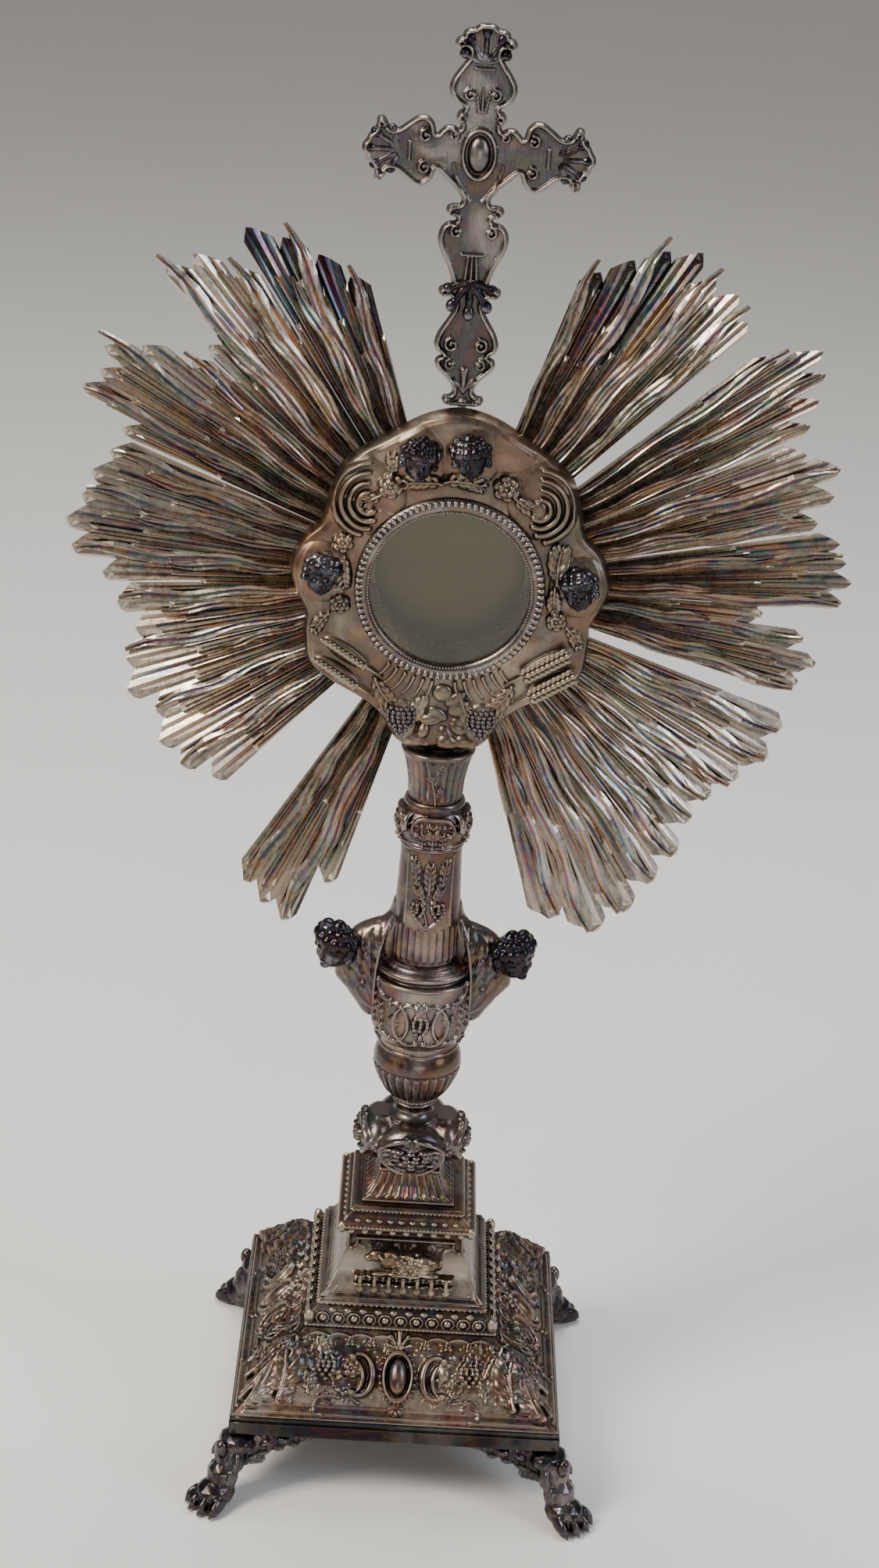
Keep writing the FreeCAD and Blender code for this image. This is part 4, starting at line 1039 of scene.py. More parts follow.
def build_rays():
    """Twelve stamped bundles: fluted blades in steps, narrow ridges between them, and wavy flames
    laid over them."""
    pick = np.random.default_rng(11)
    for key, (first, last, reach, steps) in BUNDLES.items():
        count = len(steps)
        pitch = (last - first) / count
        straight, narrow, flame = [], [], []

        def blade(target, degrees, long, wide, lift, flip):
            target.append((
                on_head(RAY_ROOT, degrees, lift), (0, -math.radians(degrees), 0),
                ((long - RAY_ROOT) * MM, 1.0, flip * math.radians(wide) * long * MM),
            ))

        for i, share in enumerate(steps):
            middle = first + (i + 0.5) * pitch
            flip = -1 if middle > 90 else 1
            blade(straight, middle, reach * share, pitch * 0.99, BLADE_AT, flip)
            for k in range(3):
                off = middle + pitch * (k - 1 + pick.uniform(-0.2, 0.2)) * 0.36
                blade(
                    narrow, off, reach * share * pick.uniform(0.66, 0.96), pitch * 0.3,
                    RIDGE_AT + RIDGE_STEP * k, flip if k % 2 else -flip,
                )
            if i % 2 == 0 or pitch > 5.4:
                blade(
                    flame, middle + pitch * pick.uniform(-0.3, 0.3),
                    reach * share * (LONG_FLAME if 40 < middle < 150 else SHORT_FLAME),
                    min(pitch, 4.0) * 0.8, FLAME_AT, flip,
                )
            if i % 2:
                blade(
                    flame, first + i * pitch, reach * pick.uniform(0.6, 0.85),
                    min(pitch, 4.0) * 0.7, TOP_FLAME_AT, -flip,
                )
        name = f"ray_bundle_{key}"
        pieces = [
            set_out(name + "_straight", STRAIGHT, straight, RAY_SILVER),
            set_out(name + "_narrow", NARROW, narrow, RAY_SILVER),
            set_out(name + "_flame", FLAME, flame, RAY_SILVER),
        ]
        piece = outward(join(name + "_rays", pieces, RAY_SILVER))
        piece.data.shade_flat()
        finish_piece(piece, "root", "silver_rays", name)


def cloud_reach_at(degrees):
    """The cloud's reach in a direction, a smooth line through its outline."""
    right = [(d, share) for d, share in CLOUD]
    whole = right + [(180 - d, share) for d, share in reversed(right[1:-1])]
    corners = np.array(
        [(s * math.cos(math.radians(d)), s * math.sin(math.radians(d))) for d, s in whole]
    ) * CLOUD_REACH
    line = smooth_line(corners, 8, closed=True)
    angles = np.degrees(np.arctan2(line[:, 1], line[:, 0]))
    order = np.argsort(angles)
    return np.interp(
        degrees, angles[order], np.hypot(*line[order].T), period=360
    )


def draw_cushions(r):
    """Cushions under the heads and the two shoulder lobes."""
    for degrees, distance, _ in CLOUD_HEADS:
        u, _, v = np.subtract(on_head(distance, degrees, 0), (CASE_X, 0, CASE_Z))
        r.boss(u, v, 13.0, 13.6, 3.4, round_to=0.8)
    for u, v, a, b, h in (
        (-38, 38, 18, 17, 3.2), (38, 40, 17, 17, 3.2), (20, 62, 12, 11, 2.0), (-27, 60, 9, 9, 1.6),
        (0, 66, 16, 10, 1.6), (0, -70, 17, 10, 1.6),
    ):
        r.boss(u, v, a, b, h, round_to=0.8)


def draw_cloud(r):
    """Swirls, leaves, flowers and rock on the cloud."""
    for s, u, v in ((-1, -36, 36), (1, 35, 37.5)):
        # Nested C-shaped swirls, open towards the window.
        for k in range(4):
            turn = np.linspace(0, 1, 26)
            radius = (4.4 + 3.7 * k) * (1 - 0.1 * turn)
            arc = np.radians(90 - s * (215 - 16 * k) * turn)
            line = np.stack([u + radius * np.cos(arc), v + radius * 1.06 * np.sin(arc)], axis=-1)
            r.strand(line, 1.7, 2.5, (0.55, 1.0))
        r.boss(u - s * 0.5, v, 2.6 + s * 0.8, 4.2, 2.2)
        # Leaves from the bezel's foot outwards and fine reeds under the window.
        for k in range(6):
            foot = on_head(42, -56 - 5.5 * k, 0)
            r.strand(
                curl((s * foot[0], foot[2] - CASE_Z), -90 + s * (28 - 4 * k), 10, s * 2, s * 5),
                1.0, 1.5, (1, 0.3),
            )
        r.leaf((s * 29, -42), -90 - s * 20, 17, 6.0, -s * 3, 2.4)
        r.leaf((s * 8, -49), -90 + s * 16, 15, 6.0, s * 3, 2.4)
        r.leaf((s * 26, -54), -90 - s * 24, 13, 5.0, s * 2, 2.0)
        # Mounds that the grapes and the wheat ears lie on.
        r.boss(s * 17, -60, 7.4, 9.0, 2.8)
        for distance, degrees in EARS:
            x, _, z = on_head(distance, degrees, 0)
            r.boss(s * x, z - CASE_Z, 11.5, 3.8, 2.4, s * (90 - EAR_TILT))
        r.boss(s * 11, -70, 5.2, 4.4, 2.0)
    # Flowers and leaves over the window, unlike on the two sides.
    r.rose(-27, 43.5, 5.8, 3.4)
    r.leaf((-27, 48), 84, 9, 4.6, 3, 2.6, 4)
    r.leaf((-31, 40), 214, 10, 4.6, -3, 2.6, 4)
    r.leaf((-6, 45.5), 168, 17, 6.4, 3, 2.8)
    r.leaf((-5, 46.5), 16, 18, 6.4, -4, 2.8)
    r.rose(20.5, 45, 6.0, 3.6)
    r.leaf((24, 42), -38, 11, 5.2, 3, 2.8, 4)
    # Leaves beside the side heads.
    r.rose(-45.5, 17.5, 4.8, 3.2)
    r.leaf((-44.5, 12), -94, 15, 5.0, 2, 2.6)
    r.rose(-45.5, -9.5, 4.8, 3.2)
    r.leaf((44.2, 6), 92, 16, 7.6, -1.5, 3.2)
    r.leaf((43.6, 4), -93, 12, 5.0, 2, 2.6)
    r.rose(45.5, -11.5, 4.8, 3.2)
    for s in (-1, 1):
        r.leaf((s * 50, -14), -90 + s * 44, 12, 4.6, -s * 3, 2.2, 4)
    # Knobbly rock between the grapes.
    for i in range(11):
        r.boss(
            8.2 * math.sin(i * 2.4), -47 - i * 2.5, 4.4 + math.sin(i * 1.7),
            3.3 + math.cos(i * 2.1), 2.2 + 0.7 * math.sin(i * 3.0), i * 37,
        )


def build_cloud():
    """The embossed cloud shell round the case."""
    columns, rows = 760, 100
    hole, edge_round = 38.9, 5.0
    shell_height, swell_height, swell_reach = 6.8, 1.8, 22
    rim_height, rim_place, rim_width = 0.7, 1.8, 1.1
    angles = np.linspace(-180, 180, columns, endpoint=False)
    outer = cloud_reach_at(angles)
    share = np.linspace(0, 1, rows)[:, None]
    radius = hole + (outer - hole) * share
    u = radius * np.cos(np.radians(angles))
    v = radius * np.sin(np.radians(angles))
    cushions, relief = Relief(u, v), Relief(u, v)
    draw_cushions(cushions)
    draw_cloud(relief)
    from_rim = (outer - hole) * (1 - share)
    dome = np.clip(from_rim / edge_round, 0, 1)
    dome = np.sqrt(np.clip(1 - (1 - dome) ** 2, 0, 1))
    # The shell falls away from the case towards its rolled edge.
    swell = swell_height * np.clip(1 - (radius - hole) / swell_reach, 0, 1) ** 1.5
    body = dome * (shell_height + swell)
    fade = np.clip(from_rim / 4.0, 0, 1) * np.clip((radius - hole) / 1.5, 0, 1)
    height = body + (cushions.h + relief.h) * fade
    height += rim_height * np.exp(-(((from_rim - rim_place) / rim_width) ** 2))
    y = CLOUD_RIM - height
    points = [np.stack([CASE_X + u, y, CASE_Z + v], axis=-1)]
    for edge in (rows - 1, 0):
        flat = np.stack(
            [CASE_X + u[edge], np.full(columns, CLOUD_RIM + 0.1), CASE_Z + v[edge]], axis=-1
        )
        points.append(flat[None])
    points = np.concatenate(points).reshape(-1, 3)
    faces = closed_faces(rows + 2, columns)
    cloud = outward(make_mesh("glory_front_cloud", points, faces, CLOUD_SILVER))
    finish_piece(cloud, "root", "silver_cloud", "glory_front")


def putto(name, centre, size, lean):
    """A child's head of plain round features under short curls; size is its half height and lean
    turns it from facing the front."""
    lumps = [
        ((0, 0, 0.08), (0.8, 0.84, 0.88)), ((0, -0.2, -0.34), (0.64, 0.6, 0.6)),
        ((0.3, -0.46, -0.3), (0.27, 0.27, 0.27)), ((-0.3, -0.46, -0.3), (0.27, 0.27, 0.27)),
        ((0, -0.6, -0.7), (0.21, 0.2, 0.16)), ((0, -0.84, -0.16), (0.12, 0.17, 0.13)),
        ((0, -0.76, 0.02), (0.08, 0.13, 0.18)), ((0, -0.76, -0.44), (0.19, 0.1, 0.08)),
        ((0.29, -0.7, 0.05), (0.15, 0.1, 0.09)), ((-0.29, -0.7, 0.05), (0.15, 0.1, 0.09)),
        ((0.0, -0.6, 0.38), (0.48, 0.24, 0.22)), ((0.8, -0.02, -0.1), (0.12, 0.18, 0.22)),
        ((-0.8, -0.02, -0.1), (0.12, 0.18, 0.22)),
    ]
    curls = []
    for height, count, out, wide in (
        (0.42, 7, 0.74, 0.3), (0.7, 5, 0.5, 0.32), (0.84, 1, 0.0, 0.34)
    ):
        for i in range(count):
            angle = math.pi * 1.16 * ((i + 0.5) / count - 0.5) - math.pi / 2
            at = (out * math.cos(angle), out * math.sin(angle) * 0.9, height)
            curls.append((at, (wide, wide * 0.9, wide)))
    for i in range(6):
        s = 1 if i % 2 else -1
        curls.append(((s * 0.8, 0.14 - 0.1 * (i // 2), 0.3 - 0.3 * (i // 2)), (0.17, 0.24, 0.2)))
    turn = Euler(lean).to_matrix()
    pieces = []
    for at, radii in lumps + curls:
        where = Vector(centre) + turn @ (Vector(at) * size)
        pieces.append(rounded(where, [r * size for r in radii], turn))
    return cast(name, pieces, HEAD_SILVER, voxel=max(0.34, size * 0.042), smooth=5)


def build_cloud_trim():
    """Four heads, two bunches of grapes and four wheat ears on the cloud."""
    heads = []
    for i, (degrees, distance, lean) in enumerate(CLOUD_HEADS):
        x, _, z = on_head(distance, degrees, 0)
        centre = (x, CLOUD_FACE - 1.4, z)
        heads.append(putto(f"head_{i}", centre, 9.0, lean))
    finish_piece(
        join("cloud_putto_heads", heads, HEAD_SILVER), "root", "silver_cast", "cloud_cherub_heads"
    )

    pick = np.random.default_rng(8)
    berries, grains, stems = [], [], []
    for s in (-1, 1):
        for row in range(7):
            half = 5.4 * math.sin(math.pi * (0.3 + 0.6 * row / 6))
            for i in range(max(1, round(half * 1.1))):
                off = (i - (round(half * 1.1) - 1) / 2) * 2.15
                berries.append((
                    (s * 17 + off + pick.uniform(-0.3, 0.3), CLOUD_FACE - 1.9 + 0.07 * off * off,
                     CASE_Z - 54.4 - row * 1.9),
                    (0, 0, 0), 1.0,
                ))
        tilt = math.radians(EAR_TILT)
        for k, (distance, degrees) in enumerate(EARS):
            middle = np.array(on_head(distance, degrees, CLOUD_FACE - 0.6)) * (s, 1, 1)
            along = np.array([s * math.sin(tilt), 0, math.cos(tilt)])
            across = np.array([along[2], 0, -along[0]])
            stems.append(tube(
                f"straw_{s}_{k}",
                [middle - along * 19 + (0, 1.2, 0), middle - along * 8, middle + along * 10],
                [0.6, 0.8, 0.5], CLOUD_SILVER, 6,
            ))
            for i in range(9):
                for side in (-1, 0, 1):
                    step = -10.5 + i * 2.3 + 1.1 * (side == 0)
                    place = middle + along * step + across * side * 1.3
                    place[1] -= 1.3 - 0.6 * abs(side)
                    angle = math.atan2(along[0], along[2]) + side * 0.5 * s
                    grains.append((place, (0.2, angle, 0), (1.05, 0.95, 0.66)))
    fruit = set_out("berries", BALL, berries, CAST_SILVER, 1.22, 0.12)
    ears = set_out("ears", GRAIN, grains, CLOUD_SILVER, 1.35, 0.08)
    trim = join("grapes_and_wheat", [fruit, ears] + stems)
    finish_piece(trim, "root", "silver_cast", "grape_and_wheat_trim")


def build_bezel():
    """The ring round the window: a turned rim set with upright leaf tongues and fine beads."""
    low, high = box_mm("bezel_ring")
    back, face = high[1], low[1]
    rim = ringed(
        "bezel_rim",
        [(33.7, back), (33.7, back - 1.6), (34.6, face + 1.6), (36.0, face + 1.1),
         (38.6, face + 1.6), (39.8, back - 1.4), (40.1, back)],
        CASE_SILVER, columns=160, rows=22, wall=0.0, axis="y", middle=(CASE_X, 0, CASE_Z),
    )
    leaf = []
    # A tongue leans outwards from the inner bead line: narrow root, broad rounded tip.
    for t, half, tall in (
        (0.0, 0.35, 0.3), (0.18, 0.7, 0.9), (0.42, 1.05, 1.4), (0.66, 1.3, 1.5),
        (0.86, 1.15, 1.1), (1.0, 0.45, 0.3),
    ):
        x = t * 4.3 - 2.2
        leaf += [(x, -half, 0), (x, -half * 0.7, tall * 0.8), (x, 0, tall),
                 (x, half * 0.7, tall * 0.8), (x, half, 0)]
    faces = grid_faces(6, 5).tolist()
    faces += [list(range(5)), list(range(25, 30))]
    tongue = small_piece("bezel tongue", leaf, faces)
    lean = (math.pi / 2, 0, 0)
    tongues = set_round(
        "tongues", tongue, 88, 37.9, CASE_SILVER, 0.84, lean, (CASE_X, face + 1.5, CASE_Z)
    )
    line = set_round(
        "bead_line", BALL, 170, 34.3, CASE_SILVER, 0.42, lean, (CASE_X, face + 1.3, CASE_Z)
    )
    piece = join("bezel_ring_leafed", [rim, tongues, line], CASE_SILVER)
    finish_piece(piece, "root", "silver_case", "bezel_ring")


# The cross's right half from the foot up to its arm, one arm's lower half from its root to its tip
# with heights from the arm's middle, and the rest up to the top: millimetres.
CROSS_FOOT = [
    (3.6, 0.0), (5.8, 0.1), (8.0, 1.0), (8.7, 2.8), (7.8, 4.6), (5.8, 4.9), (4.5, 6.5), (5.6, 9.4),
    (8.6, 12.6), (11.4, 15.4), (12.4, 18.0), (11.6, 20.3), (9.8, 21.2), (11.8, 22.3), (13.1, 25.4),
    (12.4, 29.2), (10.6, 32.8), (8.2, 36.6), (6.4, 40.2), (6.2, 43.2), (8.2, 44.9), (10.6, 44.7),
    (12.5, 46.2), (12.5, 48.7), (10.6, 50.0), (8.0, 50.4), (8.0, 53.0), (10.0, 58.0), (12.8, 63.2),
    (14.2, 68.0), (13.5, 72.4), (11.0, 75.3), (8.0, 76.0), (7.5, 77.0), (9.6, 77.4), (11.5, 79.1),
    (11.3, 81.6), (9.2, 82.8), (6.4, 82.9), (6.0, 84.8), (8.6, 88.4), (12.8, 92.2), (16.2, 95.2),
    (17.1, 93.9),
]
CROSS_ARM = [
    (18.3, -11.4), (21.2, -14.0), (24.6, -13.9), (28.4, -11.4), (32.2, -8.6), (35.3, -8.4),
    (36.7, -10.8), (38.4, -12.9), (40.8, -12.1), (41.1, -9.4), (42.2, -7.0), (43.8, -5.6),
    (44.8, -3.4), (46.0, -1.8), (46.3, 0.0),
]
CROSS_HEAD = [
    (17.2, 110.0), (16.0, 111.0), (13.6, 113.2), (10.8, 113.4), (8.7, 112.3), (8.2, 113.8),
    (9.5, 115.0), (9.9, 117.2), (8.8, 119.3), (7.4, 119.9), (8.8, 120.8), (11.4, 122.6),
    (13.2, 126.4), (13.1, 129.8), (11.0, 133.8), (8.4, 137.4), (6.7, 140.4), (7.2, 142.6),
    (9.4, 142.4), (11.7, 143.5), (12.2, 145.6), (10.9, 147.4), (9.4, 147.9), (9.1, 149.4),
    (7.2, 150.8), (4.9, 151.2), (2.8, 152.7), (0.0, 153.0),
]
ARM_LEVEL = 102.5
# Volutes on the right half: sideways, height above the foot, radius.
VOLUTES = (
    (6.4, 2.6, 1.9), (6.0, 17.6, 2.2), (5.8, 25.6, 3.0), (10.4, 47.4, 2.0), (6.9, 71.6, 2.5),
    (9.2, 80.0, 2.1), (9.8, 109.6, 2.1), (7.4, 117.0, 2.1), (4.9, 125.6, 2.4), (9.8, 145.2, 2.0),
    (21.3, ARM_LEVEL - 6.2, 2.5), (21.3, ARM_LEVEL + 6.2, 2.5), (38.6, ARM_LEVEL - 10.4, 2.0),
    (38.6, ARM_LEVEL + 10.4, 2.0),
)


def cross_shell(x, z, heading, length, y=0.0):
    """Five rounded fingers that fan out from one root."""
    lumps = []
    for i in range(5):
        off = (i - 2) / 2
        reach = length * (1 - 0.3 * off * off)
        angle = math.radians(heading + off * 64)
        turn = Euler((0, -angle, 0)).to_matrix()
        for share, half, thick, wide in ((0.5, 0.48, 2.0, 0.1), (0.82, 0.2, 2.5, 0.15)):
            centre = (x + share * reach * math.cos(angle), y, z + share * reach * math.sin(angle))
            lumps.append(rounded(centre, (half * reach, thick, wide * length), turn))
    return lumps


def build_cross():
    """The stamped cross with its oval boss, and the shells cast on its ends."""
    _, top, span = levels("cross")
    foot = CASE_Z + CLOUD_REACH * CLOUD_TOP
    arm = foot + ARM_LEVEL
    lower = [(x, ARM_LEVEL + z) for x, z in CROSS_ARM]
    upper = [(x, ARM_LEVEL - z) for x, z in reversed(CROSS_ARM[:-1])]
    corners = smooth_line(CROSS_FOOT + lower + upper + CROSS_HEAD, 3) + (0, foot)
    corners[:, 0] = np.minimum(corners[:, 0], span)
    corners[:, 1] = np.clip(corners[:, 1], foot, top)
    outline = np.vstack([corners, (corners * (-1, 1))[-2::-1]])

    def draw(r):
        r.boss(0, arm, 4.4, 7.2, 3.0, round_to=0.6)
        r.ring(0, arm, 6.4, 9.6, 0.9, 1.9)
        for s in (-1, 1):
            for x, z, size in VOLUTES:
                turn = np.linspace(0, 1, 18)
                arc = math.radians(100) - s * math.radians(430) * turn
                wind = size * (1.0 - 0.72 * turn)
                curled = np.stack(
                    [s * x + wind * np.cos(arc), foot + z + wind * np.sin(arc)], axis=-1
                )
                r.strand(curled, 0.62, 2.1, (1.0, 0.9))
                r.boss(s * x, foot + z, 0.6, 0.6, 2.5)
            # Straps from the volutes along the hearts, and a tasselled collar over the lower shell.
            r.strand(curl((s * 6.0, foot + 20.0), 90 - s * 55, 8, -s * 5, -s * 8), 0.7, 1.5)
            r.strand([(s * 2.4, foot + 52), (s * 1.6, foot + 62)], 0.75, 1.5, (1, 0.7))
            r.strand([(s * 4.4, foot + 62.6), (0, foot + 62.6)], 0.6, 1.4, (1, 1))
            r.strand(curl((s * 2.2, foot + 84), 90 - s * 42, 17, s * 1, s * 5), 0.7, 1.3)
            r.strand([(s * 1.2, foot + 119), (s * 2.8, foot + 127)], 0.6, 1.4, (1, 0.6))
            r.strand([(s * 27.5, arm - 3.6), (s * 27.5, arm + 3.6)], 0.6, 1.3, (1, 1))
        r.strand([(0, foot + 52), (0, foot + 62)], 0.7, 1.5, (1, 0.7))
        r.strand([(0, foot + 119), (0, foot + 128)], 0.6, 1.4, (1, 0.6))
        r.strand([(-3.4, foot + 135.6), (3.4, foot + 135.6)], 0.6, 1.3, (1, 1))
        r.palmette((0, foot + 6), 90, 9, 34, 1.4, 3)

    piece = plate(
        "cross_stamped", outline, CROSS_SILVER, 1.1, 1.2, draw, spacing=0.56, rim=1.7, back=0.35
    )
    tongue = ringed(
        "tongue", [(1.6, CASE_Z + 60), (1.6, foot + 4)], CROSS_SILVER, square=True, columns=2,
        rows=3, wall=1.0,
    )
    piece = join("cross_stamped", [piece, tongue], CROSS_SILVER)
    finish_piece(piece, "root", "silver_cross", "cross")

    lumps = cross_shell(0, foot + 53, -90, 17, -1.6) + cross_shell(0, top - 16, 90, 15.8)
    for s, heading in ((-1, 180), (1, 0)):
        lumps += cross_shell(s * 31, arm, heading, 15.1)
    shells = cast("cross_shells", lumps, HEAD_SILVER, voxel=0.4, smooth=1)
    finish_piece(shells, "root", "silver_dark", "cross")


# ---------------------------------------------------------------- base

# The four corners of the base.
CORNERS = ((-1, -1), (1, -1), (1, 1), (-1, 1))


def build_plinth():
    """The plain square band."""
    foot, top, half = levels("base_plinth")
    band = ringed(
        "base_plinth_band",
        [(half - 2.2, foot + 0.05), (half - 0.5, foot + 0.05), (half, foot + 0.7),
         (half, top - 3.4), (half - 1.1, top - 2.7), (half - 0.3, top - 1.9),
         (half - 0.5, top - 0.7), (half - 1.6, top), (half - 7.4, top)],
        DARK_SILVER, square=True, columns=24, rows=60, wall=0.6,
    )
    finish_piece(band, "root", "silver_dark", "base_plinth")


def draw_pyramid(r):
    """A stamped panel: an oval jewel in a beaded frame, grapes, a rose, scrolls and leaves."""
    high = r.v.max()
    r.strand([(-68, 2.6), (68, 2.6)], 0.9, 0.9, (1, 1))
    r.strand([(-66, 6.6), (66, 6.6)], 0.5, 0.5, (1, 1))
    middle = high * 0.5
    r.boss(0, middle, 4.6, 9.0, 4.0, round_to=0.6)
    r.ring(0, middle, 6.3, 10.9, 1.3, 2.4)
    for i in range(26):
        angle = 2 * math.pi * i / 26
        r.boss(8.0 * math.cos(angle), middle + 12.4 * math.sin(angle), 0.8, 0.8, 1.5)
    r.palmette((0, middle + 12), 90, 8, 60, 1.8)
    r.palmette((0, middle - 12.5), -90, 4.4, 50, 1.6)
    for s in (-1, 1):
        r.c_scroll((s * 11.0, middle), 90, 16, -s * 3.4, -s * 20, 1.9, 3.0)
        r.c_scroll((s * 15.6, middle - 1), 90, 12, -s * 4.5, -s * 20, 1.3, 2.2)
        # Corner acanthus rising to a volute, with smaller leaves springing from it.
        r.leaf((s * 63, 7.5), 90 + s * 34, 26, 11.0, -s * 1.6, 3.8)
        r.leaf((s * 52, 9), 90 + s * 20, 27, 10.5, -s * 2.0, 4.0)
        r.scroll((s * 66, 6), 90 + s * 32, 40, -s * 0.4, -s * 17, 1.6, 3.4)
        r.scroll((s * 46, high - 13), 90 - s * 40, 16, -s * 8, -s * 30, 1.5, 3.2)
        r.leaf((s * 46, high - 6), -90 - s * 8, 15, 5.5, -s * 3, 2.1)
        r.strand(curl((s * 17, 9), 90 - s * 62, 30, s * 1.2, s * 2), 0.8, 1.3)
        r.scroll((s * 26, 11), 90 - s * 72, 20, -s * 4, -s * 22, 0.9, 1.5)
        # Straps with a chevron at the thirds.
        for k in range(3):
            level = 8 + k * 1.9
            r.strand(
                [(s * 33 - 3, level), (s * 33, level + 2.2), (s * 33 + 3, level)], 0.6, 1.0, (1, 1)
            )
        # Scrolls hanging under the cornice.
        for k in range(4):
            r.c_scroll((s * (7.5 + 9.6 * k), high - 3.6), 0, 8.5, -5, -26, 1.0, 2.0)
            r.boss(s * (12.3 + 9.6 * k), high - 6.3, 1.0, 1.6, 1.3)
        r.leaf((s * 24, 12), 90 - s * 30, 12, 4.6, s * 3, 1.9, 4)
        r.grapes(s * 32, high * 0.66, 4.3, 12.5, 1.25, 2.3, seed=4 + s)
        r.leaf((s * 30, high * 0.68), 90 - s * 48, 9, 4.2, s * 3, 2.0, 4)
        r.leaf((s * 35, high * 0.68), 90 + s * 4, 9, 4.2, -s * 3, 2.0, 4)
        r.leaf((s * 40, 12), 90 - s * 2, 13, 4.6, s * 2.5, 1.9, 4)
    r.rose(-20.5, high * 0.56, 4.6, 2.7)
    r.leaf((-24, high * 0.46), -140, 7, 3.2, 3, 1.6, 3)
    r.boss(20.5, high * 0.56, 3.0, 4.2, 2.9, 15)
    r.leaf((19, high * 0.43), 80, 8, 3.4, 3, 1.6, 3)
    r.leaf((23, high * 0.43), 60, 8, 3.4, -3, 1.6, 3)
    pick = np.random.default_rng(2)
    for _ in range(420):
        spot = (pick.uniform(-60, 60), pick.uniform(8, high - 4))
        r.boss(*spot, 0.55, 0.55, 0.6)


def build_pyramid():
    """The embossed pyramid on the band."""
    foot, top, _ = levels("lower_pyramid")
    wide, narrow = levels("base_plinth")[2] - 0.9, 42.5
    shares = [(0, 0), (0.1, 0.06), (0.36, 0.3), (0.6, 0.62), (0.83, 0.86), (1, 1)]
    corners = [
        (wide + (narrow - wide) * s, foot + (top - foot) * t) for s, t in shares
    ]
    panel = ringed(
        "lower_pyramid_stamped", corners, BASE_SILVER, draw_pyramid, square=True, columns=230,
        rows=84,
    )
    finish_piece(panel, "root", "silver_base", "lower_pyramid")


def square_places(half, count, level, inset):
    """Places along the four sides of a square, without its corners, with each side's turn."""
    places = []
    for side in range(4):
        c, s = round(math.cos(side * math.pi / 2)), round(math.sin(side * math.pi / 2))
        for i in range(count):
            along = (i + 0.5) / count * 2 * (half - inset) - (half - inset)
            x, y = along, -half
            places.append(((c * x - s * y, s * x + c * y, level), side * math.pi / 2))
    return places


def row_of(name, piece, size, half, count, level, inset, tilt=0):
    """Copies of a small piece along the four sides of a square, each tilted from its side."""
    places = [
        (place, (tilt, 0, turn), 1.0) for place, turn in square_places(half, count, level, inset)
    ]
    return set_out(name, piece, places, BASE_SILVER, size)


def corner_leaves(reach, level, radii):
    """A rounded leaf over each corner of a square."""
    leaves = [rounded((sx * reach, sy * reach, level), radii) for sx, sy in CORNERS]
    for leaf in leaves:
        leaf.data.materials.append(BASE_SILVER)
    return leaves


def build_cornices():
    """The two square cornices, with their rows of balls, beads, frames and shells."""
    foot, top, half = levels("middle_cornice")
    body = ringed(
        "cornice_body",
        [(half - 1.5, foot), (half - 0.4, foot + 0.4), (half, foot + 1.1), (half - 0.5, foot + 2.0),
         (half - 2.2, foot + 2.8), (half - 2.6, foot + 5.4), (half - 3.4, foot + 7.2),
         (half - 5.6, top - 3.4), (half - 5.0, top - 2.2), (half - 5.4, top - 1.0),
         (half - 6.4, top)],
        BASE_SILVER, square=True, columns=110, rows=40, wall=1.5,
    )
    pieces = [
        body,
        row_of("cornice_balls", BALL, 2.05, half - 1.9, 11, foot + 4.6, 3),
        row_of("cornice_beads", BALL, 0.72, half - 0.6, 44, foot + 1.0, 1),
        row_of("cornice_upper_beads", BALL, 0.66, half - 5.2, 30, top - 2.2, 1),
        row_of("cornice_frames", RING, 2.9, half - 1.5, 11, foot + 4.6, 3, math.pi / 2),
        row_of("cornice_fans", SHELL, 1.0, half - 2.0, 10, foot + 7.2, 7, -0.5),
    ] + corner_leaves(half - 2.2, foot + 4.8, (2.6, 2.6, 4.0))
    piece = join("middle_cornice_moulded", pieces, BASE_SILVER)
    finish_piece(piece, "root", "silver_base", "middle_cornice")

    foot, top, half = levels("upper_cornice")
    body = ringed(
        "crown_body",
        [(half - 6.0, foot), (half - 5.2, foot + 0.5), (half - 3.6, foot + 1.6),
         (half - 1.9, foot + 2.4), (half - 1.0, foot + 3.3), (half - 0.3, foot + 4.2),
         (half, foot + 5.4), (half - 0.8, foot + 6.6), (half - 2.6, foot + 7.4),
         (half - 4.0, foot + 9.4), (half - 6.2, foot + 10.6), (half - 5.6, foot + 11.6),
         (half - 7.2, top), (half - 9.5, top)],
        BASE_SILVER, square=True, columns=90, rows=44, wall=1.5,
    )
    pieces = [
        body,
        row_of("crown_balls", BALL, 1.75, half - 1.4, 9, foot + 3.4, 2),
        row_of("crown_beads", BALL, 0.7, half - 0.3, 34, foot + 5.6, 0.5),
        row_of("crown_fans", SHELL, 0.85, half - 2.6, 10, foot + 6.9, 4, -0.55),
        row_of("crown_upper_beads", BALL, 0.6, half - 5.7, 26, foot + 11.3, 0.5),
    ] + corner_leaves(half - 2.0, foot + 4.6, (2.2, 2.2, 3.0))
    piece = join("upper_cornice_moulded", pieces, BASE_SILVER)
    finish_piece(piece, "root", "silver_base", "upper_cornice")


